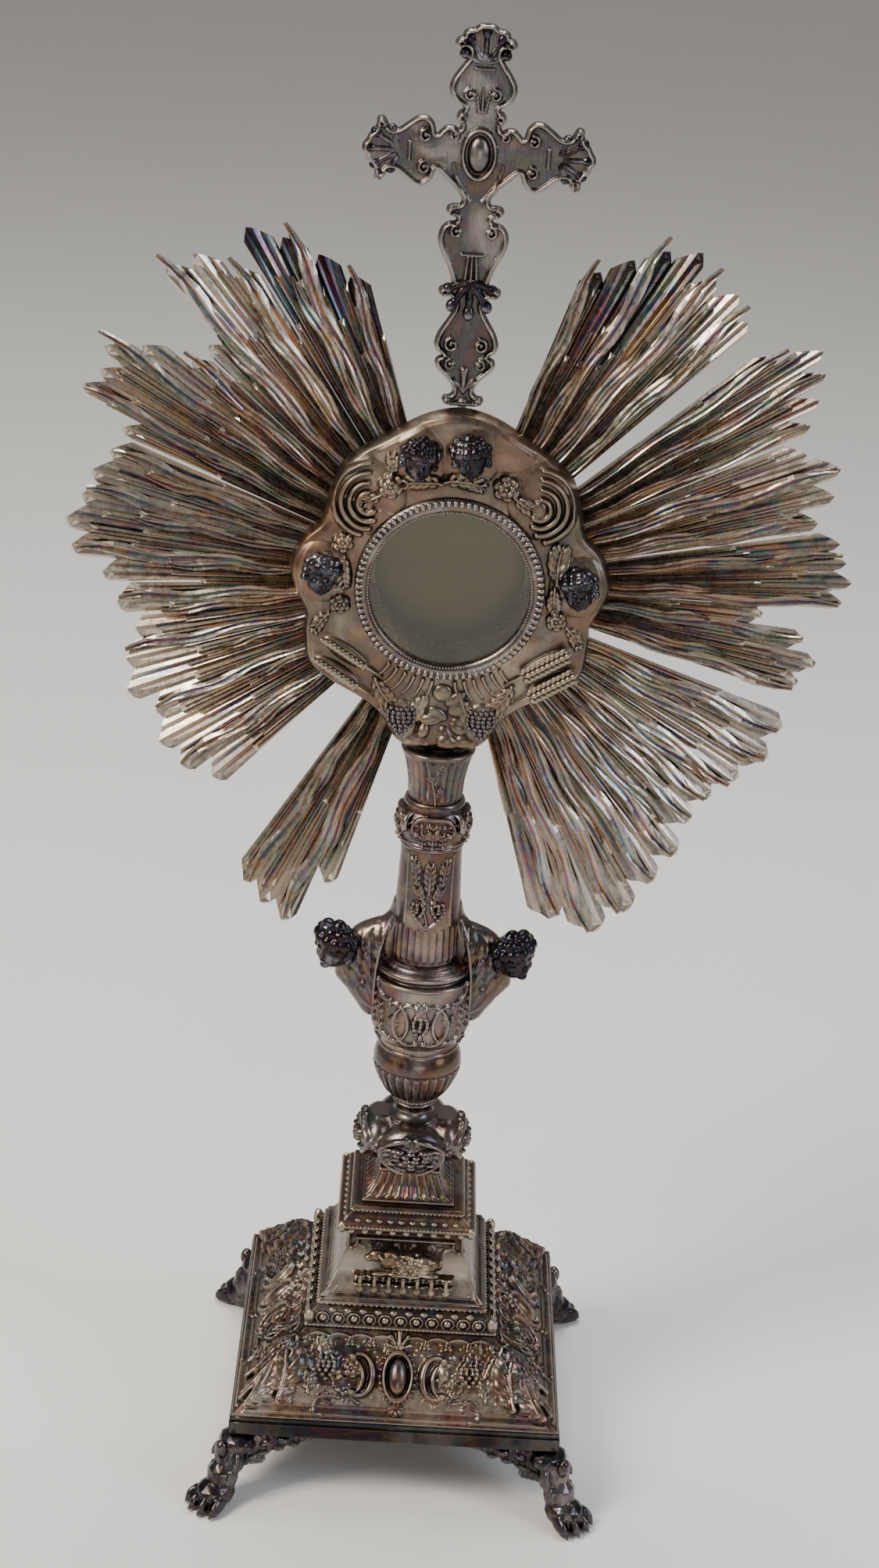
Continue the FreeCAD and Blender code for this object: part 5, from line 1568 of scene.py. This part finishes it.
def draw_pedestal(r):
    """A plain slanting border with bright edges round a ground of small leaves."""
    high = r.v.max()
    for s in (-1, 1):
        r.strand([(s * 36.0, 0.5), (s * 27.5, high * 0.42), (s * 24.6, high)], 0.8, 1.5, (1, 1))
        r.strand([(s * 30.5, 3.5), (s * 23.0, high * 0.42), (s * 20.6, high - 3)], 0.8, 1.5, (1, 1))
        r.strand([(s * 30.5, 3.5), (0, 3.5)], 0.7, 1.3, (1, 1))
        r.leaf((s * 21, 6), 90 - s * 2, 18, 6.0, s * 2, 2.2)
        r.leaf((s * 13, 6), 90 + s * 16, 14, 5.4, -s * 3, 2.2)
        r.leaf((s * 5, 6), 90 - s * 12, 12, 4.8, s * 3, 2.0, 4)
        r.scroll((s * 17, high * 0.5), 90 + s * 24, 15, -s * 5, -s * 24, 1.1, 2.0)
        r.leaf((s * 9, high * 0.6), 90 - s * 40, 11, 5.0, s * 3, 2.0, 4)
    r.strand([(-21, high - 3.2), (21, high - 3.2)], 1.2, 1.8, (1, 1))
    r.palmette((0, high * 0.62), 90, 8, 55, 1.4)


def build_pedestal():
    """The curved pedestal and the reeded neck over it."""
    foot, top, wide = levels("pedestal_body")
    narrow = 25.0
    shares = [(0, 0), (0.3, 0.09), (0.58, 0.26), (0.8, 0.45), (0.93, 0.66), (1, 0.9), (1, 1)]
    corners = smooth_line(
        [(wide + (narrow - wide) * s, foot + (top - foot) * t) for s, t in shares], 4
    )
    panel = ringed(
        "pedestal_stamped", corners, PANEL_SILVER, draw_pedestal, square=True, columns=130, rows=64
    )
    finish_piece(panel, "root", "silver_base", "pedestal_body")

    foot, top, half = levels("fluted_neck")

    def reeds(r):
        share = r.u / np.maximum(np.abs(r.u).max(axis=1, keepdims=True), 1)
        rise = np.clip((r.v - 2.6) / 1.5, 0, 1) * np.clip((r.v.max() - 2.2 - r.v) / 1.5, 0, 1)
        r.h += rise * (0.85 * np.abs(np.cos(share * 4.5 * math.pi)) - 0.1)

    neck = ringed(
        "neck_reeded",
        [(half - 0.4, foot), (half, foot + 0.4), (half, foot + 1.4), (half - 1.4, foot + 2.0),
         (half - 3.2, foot + 3.6), (half - 5.4, foot + 6.4), (half - 7.4, top - 3.6),
         (half - 7.9, top - 2.0), (half - 7.0, top - 1.4), (half - 7.2, top - 0.4),
         (half - 8.4, top)],
        BASE_SILVER, reeds, square=True, columns=90, rows=40,
    )
    finish_piece(neck, "root", "silver_base", "fluted_neck")


def build_feet():
    """Four cast lion's paws with a tufted hock and leafy brackets along the band."""
    names = ("front_left", "front_right", "rear_right", "rear_left")
    top, _, band_half = levels("base_plinth")
    far = levels("paw_foot_front_right")[2] * MM
    paw, bracket_root, bracket_long, bracket_inset = 81.0, 68.0, 35.0, 3.6
    for name, corner in zip(names, CORNERS):
        out = np.array([*corner, 0]) / math.sqrt(2)
        side = np.array([-out[1], out[0], 0])
        heading = math.atan2(out[1], out[0])
        turn = Euler((0, 0, heading)).to_matrix()
        middle = np.array([paw * corner[0], paw * corner[1], 0.0])

        def at(forward, across, height):
            return Vector(middle + out * forward + side * across + (0, 0, height))

        lumps = [
            rounded(at(-2, 0, 7.0), (10, 8.6, 7.0), turn),
            rounded(at(-6, 0, 14), (7.4, 7.4, 8.5), turn),
            rounded(at(-10.5, 0, 22), (6.8, 7.6, 9.5), turn),
            rounded(at(-14, 0, 29.5), (8.0, 9.4, 5.2), turn),
        ]
        for across, forward in ((-6.9, 1.6), (-2.5, 4.0), (2.5, 4.0), (6.9, 1.6)):
            splay = turn @ Euler((0, 0.12, across * 0.045)).to_matrix()
            lumps.append(rounded(at(forward, across, 4.9), (6.6, 2.35, 4.3), splay))
            lumps.append(rounded(at(forward + 3.6, across * 1.12, 3.6), (3.2, 2.2, 3.3), splay))
            claw = turn @ Euler((0, 0.5, across * 0.05)).to_matrix()
            lumps.append(rounded(at(forward + 6.1, across * 1.18, 2.2), (2.4, 0.95, 1.4), claw, 1))
        # Tufts of hair down the hock and a knee leaf under the band's corner.
        for i in range(5):
            across = (i - 2) * 3.1
            tuft = turn @ Euler((0, -0.5, across * 0.05)).to_matrix()
            low = at(-2.5 - abs(across) * 0.35, across, 16.5)
            high = at(-5.2 - abs(across) * 0.4, across * 1.15, 24.5)
            lumps.append(rounded(low, (1.7, 1.5, 4.6), tuft, 1))
            lumps.append(rounded(high, (1.8, 1.6, 4.8), tuft, 1))
        lumps.append(rounded(at(-4.6, 0, 29.0), (3.0, 3.4, 4.6), turn))
        for axis in (0, 1):
            other = 1 - axis
            along, face, base = np.zeros((3, 3))
            along[axis] = -corner[axis]
            face[other] = corner[other]
            base[axis] = bracket_root * corner[axis]
            base[other] = (band_half - bracket_inset) * corner[other]
            spin = Euler((0, 0, math.atan2(along[1], along[0]))).to_matrix()
            for i in range(13):
                share = i / 12
                deep = 17.0 * (1 - share) ** 1.35 + 2.0
                spot = base + along * (bracket_long * share) + (0, 0, top - deep * 0.5)
                lumps.append(rounded(Vector(spot), (2.6, 1.7, deep * 0.52), spin, 1))
            for start, drop, long, tilt in (
                (3, 13.5, 8.5, 0.35), (9, 10.5, 8.0, 0.25), (16, 7.5, 7.0, 0.18),
                (23, 5.0, 6.0, 0.1), (2, 7.5, 7.5, 0.6), (10, 5.2, 6.5, 0.45), (18, 3.4, 6.0, 0.3),
            ):
                leaf = spin @ Euler((0, -tilt, 0)).to_matrix()
                spot = base + along * start + face * 1.6 + (0, 0, top - drop)
                lumps.append(rounded(Vector(spot), (long * 0.5, 1.3, 1.7), leaf, 1))
            for k in range(9):
                spot = base + along * (1.5 + 2.3 * (k % 4) + 1.1 * (k // 4)) + face * 2.0
                spot = spot + (0, 0, top - 16.5 + 1.7 * (k // 4) + 0.5 * (k % 4))
                lumps.append(rounded(Vector(spot), (1.25, 1.25, 1.25), None, 1))
        foot = cast("paw", lumps, CAST_SILVER, voxel=0.62, smooth=1)
        # No claw or leaf reaches past the working model.
        for vertex in foot.data.vertices:
            vertex.co.x = min(max(vertex.co.x, -far), far)
            vertex.co.y = min(max(vertex.co.y, -far), far)
            vertex.co.z = min(max(vertex.co.z, 0.0), top * MM)
        foot.name = foot.data.name = f"paw_foot_{name}_cast"
        finish_piece(foot, "root", "silver_cast", f"paw_foot_{name}")


def build_lamb():
    """A lamb lying on a closed book from which seven seals hang."""
    (x0, y0, z0), (x1, _, z1) = box_mm("seven_seal_book")
    deep = 5.2
    lumps = []
    for i in range(15):
        x = x0 + 1.5 + (x1 - x0 - 3) * i / 14
        lumps.append(rounded((x, y0 + deep, z1 - 1.0), (2.6, deep + 0.6, 1.0), None, 1))
        lumps.append(rounded((x, y0 + deep + 0.6, z1 - 3.2), (2.4, deep - 0.5, 1.6), None, 1))
        lumps.append(rounded((x, y0 + deep, z1 - 5.3), (2.6, deep + 0.6, 0.9), None, 1))
    pitch = (x1 - x0) / 7
    for i in range(7):
        x = (i - 3) * pitch
        lumps.append(rounded((x, y0 + 0.6, z1 - 4.0), (1.3, 1.1, 4.2), None, 1))
        lumps.append(rounded((x, y0 + 0.4, z0 + 3.4), (2.1, 1.4, 2.5)))
        lumps.append(rounded((x, y0 + 0.4, z0 + 1.2), (1.3, 1.0, 1.3), None, 1))
    book = cast("seven_seal_book_cast", lumps, RELIEF_SILVER, voxel=0.4, smooth=1)
    finish_piece(book, "root", "silver_cast", "seven_seal_book")

    pick = np.random.default_rng(21)
    y = y0 + 4.4
    z = z1 + 5.0
    lumps = [
        rounded((3, y, z), (12.0, 4.8, 4.9)), rounded((9.5, y, z + 0.2), (6.6, 5.0, 5.2)),
        rounded((-7, y - 0.4, z + 2.0), (5.4, 4.0, 5.2)),
        rounded((-12.8, y - 1.2, z + 4.4), (4.2, 2.9, 3.1)),
        rounded((-16.2, y - 1.7, z + 3.4), (2.6, 2.0, 1.9)),
        rounded((-10.6, y - 3.6, z + 5.2), (1.6, 2.4, 0.9), Euler((0.4, 0.3, 0.5)).to_matrix(), 1),
        rounded((-10.4, y + 2.0, z + 5.6), (1.4, 1.8, 0.8), None, 1),
        rounded((-9, y - 3.2, z1 + 1.3), (6.0, 1.5, 1.3), Euler((0, -0.1, 0.1)).to_matrix()),
        rounded((-2, y - 4.2, z1 + 1.3), (5.4, 1.4, 1.3)),
        rounded((11, y - 3.6, z1 + 1.7), (5.4, 1.9, 1.7), Euler((0, 0.12, 0)).to_matrix()),
        rounded((3.5, y - 4.4, z1 + 1.1), (4.6, 1.3, 1.1)),
        rounded((16.0, y, z - 0.5), (2.0, 1.5, 3.0), Euler((0, 0.3, 0)).to_matrix(), 1),
    ]
    for _ in range(130):
        angle, along = pick.uniform(-0.6, 2.7), pick.uniform(-9, 14)
        belly = math.sqrt(max(0.05, 1 - ((along - 3.5) / 13.5) ** 2))
        spot = (along, y - 4.7 * belly * math.cos(angle), z + 4.8 * belly * math.sin(angle))
        lumps.append(rounded(spot, [pick.uniform(0.75, 1.1)] * 3, None, 1))
    lamb = cast("lamb_cast", lumps, RELIEF_SILVER, voxel=0.36, smooth=1)
    finish_piece(lamb, "root", "silver_cast", "lamb")


def build_small_ornament():
    """A small ring lying flat, one millimetre from its middle to its wire, and an upright shell."""
    ring = []
    for i in range(12):
        a = 2 * math.pi * i / 12
        for k in range(4):
            b = math.pi / 2 * k
            r = 1 + 0.16 * math.cos(b)
            ring.append((r * math.cos(a), r * math.sin(a), 0.16 * math.sin(b)))
    faces = [
        [i * 4 + k, ((i + 1) % 12) * 4 + k, ((i + 1) % 12) * 4 + (k + 1) % 4, i * 4 + (k + 1) % 4]
        for i in range(12) for k in range(4)
    ]
    flat_ring = small_piece("ring frame", ring, faces)
    fan = [(0, -0.9, 0.0), (0, 0.6, 0.0)]
    for i in range(9):
        angle = math.radians(-64 + 16 * i)
        reach = 2.6 if i % 2 == 0 else 2.15
        fan += [(reach * math.sin(angle), -0.75 if i % 2 == 0 else -0.35, reach * math.cos(angle)),
                (reach * math.sin(angle), 0.4, reach * math.cos(angle))]
    faces = []
    for i in range(8):
        a = 2 + 2 * i
        faces += [[0, a, a + 2], [1, a + 3, a + 1], [a, a + 1, a + 3, a + 2]]
    faces += [[0, 1, 3, 2], [0, 18, 19, 1]]
    return flat_ring, small_piece("shell", fan, faces)


RING, SHELL = build_small_ornament()


# ---------------------------------------------------------------- stem

NECK_TOP_HALF = 12.3


def build_knop():
    """The knop: a core with four embossed oval lobes."""
    foot, top, _ = levels("knop")
    middle = foot + (top - foot) * 0.52
    lobe_out, deep, wide, tall = 15.5, 9.0, 15.7, 12.0

    def swell(angle, level, core):
        best = np.repeat(core[:, :1], angle.shape[1], axis=1)
        for k in range(4):
            turned = angle - k * math.pi / 2
            a, b = np.cos(turned) / deep, np.sin(turned) / wide
            off = lobe_out / deep
            left = 1 - ((level - middle) / tall) ** 2
            square = a * a + b * b
            inside = (a * off) ** 2 - square * (off * off - left)
            reach = np.where(
                inside > 0, (a * off + np.sqrt(np.clip(inside, 0, None))) / square, 0
            )
            best = np.maximum(best, np.where(left > 0, reach, 0))
        return best

    def draw(r):
        high_v = r.v.max()
        mid = high_v * 0.5
        for s in (-1, 1):
            r.scroll((s * 1.5, mid + 8.4), 90 - s * 100, 17, -s * 5, -s * 19, 1.1, 2.2)
            r.scroll((s * 2.5, mid - 7.6), 90 - s * 76, 17, s * 6, s * 17, 1.1, 2.2)
            r.scroll((s * 10.5, mid), 90 - s * 30, 9, -s * 16, -s * 34, 0.9, 1.9)
            r.strand([(s * 14.2, mid - 7), (s * 13.0, mid), (s * 14.2, mid + 7)], 0.9, 1.7, (1, 1))
            r.leaf((s * 6.5, mid - 4), 90 - s * 20, 8, 3.4, s * 3, 1.5, 3)
            r.leaf((s * 17.5, mid - 7), 90 - s * 4, 14, 4.4, s * 1, 1.8, 4)
        r.grapes(0, mid + 4.0, 4.6, 11.5, 1.3, 2.8)
        r.leaf((0, mid + 3.6), 90, 6, 4.4, 0, 2.2, 3)

    core = [(NECK_TOP_HALF - 1.4, foot), (NECK_TOP_HALF - 0.4, foot + 1.6), (14, foot + 5),
            (14, top - 4), (12.4, top - 1.2), (12.0, top)]
    piece = ringed(
        "knop_lobed", core, STEM_SILVER, draw, columns=420, rows=64, swell=swell, wall=3.0
    )
    finish_piece(piece, "root", "silver_stem", "knop")


def turns_of(r):
    """The turn of each column of a round piece."""
    return np.arange(r.u.shape[1]) / r.u.shape[1] * 2 * math.pi


def build_stem():
    """The spun and embossed pieces of the stem, lowest first."""
    foot, top, wide = levels("saucer_collar")
    saucer = ringed(
        "saucer_spun",
        smooth_line([(wide - 0.8, foot), (wide, foot + 0.6), (wide - 0.7, foot + 1.4),
                     (wide - 3.6, foot + 3.2), (wide - 4.7, foot + 5.4), (wide - 4.4, foot + 7.2),
                     (wide - 3.0, top - 1.0), (wide - 2.8, top)], 4),
        STEM_SILVER, columns=96, rows=40, wall=5.0,
    )
    finish_piece(saucer, "root", "silver_stem", "saucer_collar")

    foot, top, wide = levels("milled_ring")
    core = ringed(
        "milled_core", [(wide - 1.0, foot), (wide - 0.6, foot + 1.5), (wide - 1.0, top)],
        STEM_SILVER, columns=64, rows=6, wall=5.0,
    )
    teeth = set_round(
        "milled_teeth", BALL, 30, wide - 1.0, STEM_SILVER, 1.0, (0, 0, 0), (0, 0, (foot + top) / 2)
    )
    finish_piece(
        join("milled_ring_cut", [core, teeth], STEM_SILVER), "root", "silver_stem", "milled_ring"
    )

    foot, top, wide = levels("stem_vase")
    shape = smooth_line([
        (wide - 8.5, foot), (wide - 7.2, foot + 1.4), (wide - 4.9, foot + 4.5),
        (wide - 3.0, foot + 8), (wide - 1.4, foot + 12), (wide - 0.3, foot + 15.6),
        (wide - 0.7, foot + 16.6), (wide - 0.1, foot + 17.6), (wide, foot + 19.5),
        (wide - 0.7, foot + 22.6), (wide - 2.3, foot + 26), (wide - 1.7, foot + 26.8),
        (wide - 2.4, foot + 27.8), (wide - 2.5, top),
    ], 4)

    def gadroons(r):
        reach = (r.v < 19.5) * np.clip(r.v / 3, 0, 1) * np.clip((19.5 - r.v) / 1.2, 0, 1)
        r.h += reach * (1.15 * np.abs(np.cos(turns_of(r) * 14)) - 0.75)

    vase = ringed("stem_vase_gadrooned", shape, STEM_SILVER, gadroons, columns=448, rows=84, wall=3)
    finish_piece(vase, "root", "silver_stem", "stem_vase")

    foot, top, wide = levels("stem_cup")

    def cartouches(r):
        for s in (-1, 1):
            r.c_scroll((s * 12.5, 17), 90, 17, s * 4.2, s * 14, 1.15, 1.9)
            r.c_scroll((s * 5.6, 17), 90, 15, -s * 4.0, -s * 16, 1.0, 1.7)
            r.scroll((s * 16, 8), 90 - s * 60, 15, -s * 5, -s * 20, 0.9, 1.4)
            r.scroll((s * 15, 27), 90 - s * 100, 15, s * 5, s * 18, 0.9, 1.4)
            r.leaf((s * 20, 10), 90 - s * 14, 15, 4.6, s * 2, 1.5, 4)
            r.leaf((s * 27, 12), 90 + s * 6, 15, 4.6, -s * 2, 1.5, 4)
        r.grapes(0, 21, 3.8, 12, 1.25, 2.0, 6)
        r.grapes(13, 20.5, 3.0, 8, 1.1, 1.7, 7)
        r.rose(-13, 17, 3.2, 1.7)
        r.leaf((0, 20.6), 90, 7, 4.6, 0, 1.6, 3)

    cup = ringed(
        "stem_cup_embossed",
        smooth_line([
            (17.4, foot), (wide - 3.9, foot + 1.6), (wide - 2.3, foot + 4),
            (wide - 0.9, foot + 7.5), (wide - 0.7, foot + 18), (wide - 1.0, foot + 30.4),
            (wide - 0.2, foot + 31.8), (wide - 0.5, foot + 33.0), (wide - 2.6, foot + 34.0),
            (wide - 2.4, foot + 35.0), (wide - 1.0, foot + 36.4), (wide - 1.4, foot + 38.2),
            (wide - 4.2, foot + 39.2), (wide - 4.8, foot + 40.0), (16.5, top),
        ], 4),
        STEM_SILVER, cartouches, columns=340, rows=96, repeats=2, wall=3,
    )
    finish_piece(cup, "root", "silver_stem", "stem_cup")

    foot, top, wide = levels("stem_column")

    def vine(r):
        low_part = np.clip((r.v - 1.5) / 1.5, 0, 1) * np.clip((19 - r.v) / 2, 0, 1)
        r.h += low_part * (0.9 * np.abs(np.cos(turns_of(r) * 13)) - 0.5)
        for s in (-1, 1):
            r.grapes(s * 4.6, 30.5, 3.4, 9.5, 1.15, 1.9, 3 + s)
            r.scroll((s * 0.5, 19.5), 90 - s * 66, 17, s * 5, s * 18, 0.8, 1.4)
            r.leaf((s * 2, 32), 90 - s * 34, 10, 4.2, s * 3, 1.6, 4)
            r.leaf((s * 6, 40), 90 - s * 4, 13, 4.4, -s * 2, 1.5, 4)
            r.strand(curl((s * 11, 20), 90 + s * 4, 34, -s * 0.5, s * 0.4), 0.8, 1.0)
        r.leaf((0, 36), 90, 15, 5, 0, 1.8, 5)
        r.strand(curl((0, 19), 90, 17, 3, -6), 0.7, 1.3)

    column = ringed(
        "stem_column_fluted",
        [(wide, foot), (wide - 0.3, foot + 20), (13.5, top - 8), (13.5, top - 2.2),
         (14.3, top - 1.4), (13.9, top)],
        STEM_SILVER, vine, columns=312, rows=110, repeats=2, wall=2,
    )
    finish_piece(column, "root", "silver_stem", "stem_column")

    foot, top, _ = levels("ionic_collar")
    wide = 16.0

    def capital(r):
        for s in (-1, 1):
            r.scroll((s * 0.5, 15.5), 90 - s * 84, 15, -s * 3, -s * 30, 1.2, 1.8)
            r.leaf((s * 5, 1.5), 90 + s * 4, 9, 3.6, s * 2, 1.4, 3)
        r.leaf((0, 1.5), 90, 12, 4.6, 0, 1.8, 4)
        for i in range(9):
            r.boss((i - 4) * 2.6, 12.3, 0.95, 1.3, 1.0)

    collar = ringed(
        "collar_drum",
        smooth_line([(14.1, foot), (14.9, foot + 1.2), (14.2, foot + 2.2), (wide - 1, foot + 5),
                     (wide, foot + 8), (wide - 0.6, foot + 12), (wide - 0.8, foot + 13.4),
                     (wide - 2.6, foot + 16), (13.4, top - 1.5), (12.8, top)], 4),
        STEM_SILVER, capital, columns=256, rows=56, wall=2,
    )
    pieces = [collar]
    for sx, sy in CORNERS:
        heading = math.atan2(sy, sx)
        out = np.array([math.cos(heading), math.sin(heading), 0])
        volute = []
        for i in range(34):
            share = i / 33
            a = -0.6 + 9.2 * share
            wind = 4.6 * (1 - share) ** 0.8 + 0.3
            level = foot + 11.0 + wind * math.sin(a)
            volute.append(out * (13.2 + wind * math.cos(a)) + (0, 0, level))
        pieces.append(tube("volute", volute, np.linspace(1.5, 0.7, 34), STEM_SILVER, 8))
    piece = join("ionic_collar_cast", pieces, STEM_SILVER)
    finish_piece(piece, "root", "silver_stem", "ionic_collar")

    foot, top, flare = levels("upper_column")

    def narrow_flutes(r):
        rise = np.clip((r.v - 1) / 1.5, 0, 1) * np.clip((r.v.max() - 2.5 - r.v) / 2, 0, 1)
        r.h += rise * (0.8 * np.abs(np.cos(turns_of(r) * 12)) - 0.4)
        r.strand(curl((0, 1), 92, 22, 2, -4), 0.9, 1.5)
        for i in range(3):
            r.leaf((0, 4 + 6 * i), 90 - 38 * (-1) ** i, 6, 3.0, 2, 1.4, 3)

    upper = ringed(
        "upper_column_fluted",
        smooth_line([(11.6, foot), (11.7, foot + 4), (12.1, foot + 9), (13.2, foot + 15),
                     (14.4, foot + 19.5), (flare - 0.4, top - 2), (flare, top - 0.6),
                     (flare - 0.3, top)], 4),
        STEM_SILVER, narrow_flutes, columns=288, rows=50, repeats=2, wall=6,
    )
    finish_piece(upper, "root", "silver_stem", "upper_column")


def build_shoulders():
    """Winged side panels in feather-like relief, with a child's head on each."""
    foot = levels("stem_cup")[0]
    outline = np.array([
        (20.0, 8), (25.5, 9.5), (29.2, 14.5), (32.0, 18.5), (34.0, 21.5), (38.4, 26.5),
        (39.6, 29.0), (39.6, 33), (38.0, 39), (35.0, 46), (32.6, 51), (28.0, 54.5), (22.0, 57.0),
        (19.5, 58), (16.5, 62), (14.6, 68.6), (10, 68.6), (10, 8),
    ]) + (0, foot)
    corners = smooth_line(outline, 3, closed=True)
    corners = np.clip(corners, (9.0, foot + 8), (39.6, foot + 69))
    for side, sign in (("left", -1), ("right", 1)):
        edge = corners * (sign, 1)

        def draw(r):
            for row in range(4):
                for i in range(6 - row):
                    start = (sign * (15.5 + 5.4 * row + 0.9 * i), foot + 15 + 6.8 * i + 1.5 * row)
                    feather = curl(start, 90 - sign * (44 - 6 * i), 9.5, sign * 1.5, sign * 4, 8)
                    r.strand(feather, 2.5, 1.5, (0.75, 1.0))
                    r.strand(feather, 0.45, 1.9, (1, 0.6))
            rim = curl((sign * 16.2, foot + 60), -90 + sign * 18, 50, -sign * 0.5, -sign * 0.4, 20)
            r.strand(rim, 1.1, 2.2, (1, 1))
            r.scroll((sign * 19, foot + 15), 90 - sign * 76, 21, sign * 2.2, sign * 16, 1.3, 2.2)
            r.scroll((sign * 22, foot + 56), -90 + sign * 60, 16, -sign * 3, -sign * 16, 1.1, 2.0)

        panel = plate(f"shoulder_{side}_wing", edge, STEM_SILVER, 7.2, 9.5, draw, spacing=0.62)
        finish_piece(panel, "root", "silver_stem", f"cherub_shoulder_{side}")
        low, high = box_mm(f"cherub_head_{side}")
        middle = (low + high) / 2
        head = putto(
            f"cherub_head_{side}_cast", (middle[0], -3.4, middle[2] + 1.2), 11.2,
            (0.08, -sign * 0.18, sign * 0.62),
        )
        finish_piece(head, "root", "silver_cast", f"cherub_head_{side}")


# ---------------------------------------------------------------- assembly

build_rays()
build_cloud()
build_cloud_trim()
build_bezel()
build_cross()
build_plinth()
build_pyramid()
build_cornices()
build_pedestal()
build_feet()
build_lamb()
build_knop()
build_stem()
build_shoulders()
for pattern in patterns:
    bpy.data.objects.remove(pattern)

# Parts of the working model that are right as they are get their real finish.
FINISHES = {
    DARK_SILVER: ["bottom_plate"],
    CLOUD_SILVER: ["glory_back"],
    RAY_SILVER: ["ray_ring"],
    CASE_SILVER: [
        "luna_drum", "door_frame", "hinge_leaf_fixed", "hinge_leaf_door", "turn_button",
    ],
    DISC_SILVER: ["door_disc"],
    GILT: ["glass_retainer", "lunula_seat"],
    GLASS: ["front_glass"],
    STEEL: ["tie_rod", "tie_rod_nut", "tie_rod_washer"],
    BRASS: ["foot_screws", "glory_screws", "hinge_pin", "turn_button_screw"],
}
for material, names in FINISHES.items():
    for name in names:
        coat(nodes[name].data, material)


# ---------------------------------------------------------------- stage, light, camera

def build_stage():
    """A floor of pale matt paper."""
    paper, tree, shader, place = new_material("matt floor paper")
    mottle = add_node(
        tree, "ShaderNodeTexNoise", inputs={"Vector": place, "Scale": per_mm(160), "Detail": 3.0}
    ).outputs[0]
    tint = add_node(
        tree, "ShaderNodeMix", COLOUR_MIX, {FACTOR: mottle, FIRST: "F6F4F0", SECOND: "FBFAF7"}
    ).outputs[MIXED]
    tree.links.new(tint, shader.inputs["Base Color"])
    shader.inputs["Roughness"].default_value = 0.9
    side, near, far = 7000, -5000, 10000
    corners = [(-side, near, 0), (side, near, 0), (side, far, 0), (-side, far, 0)]
    make_mesh("floor", corners, [[0, 1, 2, 3]], paper)


def add_light(name, place, target, size, power, colour="FFFFFF"):
    """A soft rectangular light, aimed at a target; metres and watts."""
    light = bpy.data.lights.new(name, "AREA")
    light.shape = "RECTANGLE"
    light.size, light.size_y = size
    light.energy = power
    light.color = linear(colour)[:3]
    obj = bpy.data.objects.new(name, light)
    bpy.context.scene.collection.objects.link(obj)
    aim = (Vector(target) - Vector(place)).to_track_quat("-Z", "Y")
    obj.matrix_world = Matrix.Translation(place) @ aim.to_matrix().to_4x4()


def build_light():
    """A tall window to the left, a smaller one to the right, and a grey room."""
    add_light("left window", (-1.3, -0.8, 1.7), (0, 0, 0.35), (0.6, 1.0), 40, "FFF6EA")
    add_light("right window", (1.5, -0.7, 1.2), (0, 0, 0.35), (0.35, 1.1), 12, "E6EEFF")
    add_light("ceiling", (0.0, 0.5, 2.1), (0, 0, 0.3), (1.2, 0.7), 22)
    add_light("front fill", (0.3, -2.0, 0.5), (0, 0, 0.3), (0.9, 0.3), 4)
    world = bpy.data.worlds.new("grey room")
    world.use_nodes = True
    world.node_tree.nodes["Background"].inputs["Color"].default_value = linear("8E8C8A")
    world.node_tree.nodes["Background"].inputs["Strength"].default_value = 0.95
    bpy.context.scene.world = world


# The camera's place in metres, its angles in degrees, and its lens and film width in millimetres.
CAMERA_PLACE = (-0.01875, -1.07625, 0.800)
PITCH, YAW, ROLL = 23.61, 1.08, 3.96
LENS, FILM_WIDTH = 62.0, 36.0


def build_camera():
    """Looks down on the front from a little above."""
    pitch, yaw, roll = math.radians(PITCH), math.radians(YAW), math.radians(ROLL)
    forward = Vector((
        math.sin(yaw) * math.cos(pitch), math.cos(yaw) * math.cos(pitch), -math.sin(pitch)
    ))
    right = Vector((math.cos(yaw), -math.sin(yaw), 0))
    up = right.cross(forward)
    across = right * math.cos(roll) + up * math.sin(roll)
    upward = -right * math.sin(roll) + up * math.cos(roll)
    camera = bpy.data.cameras.new("camera")
    camera.lens = LENS
    camera.sensor_width = FILM_WIDTH
    obj = bpy.data.objects.new("camera", camera)
    matrix = Matrix((across, upward, -forward)).transposed().to_4x4()
    matrix.translation = Vector(CAMERA_PLACE)
    obj.matrix_world = matrix
    bpy.context.scene.collection.objects.link(obj)
    bpy.context.scene.camera = obj


build_stage()
build_light()
build_camera()
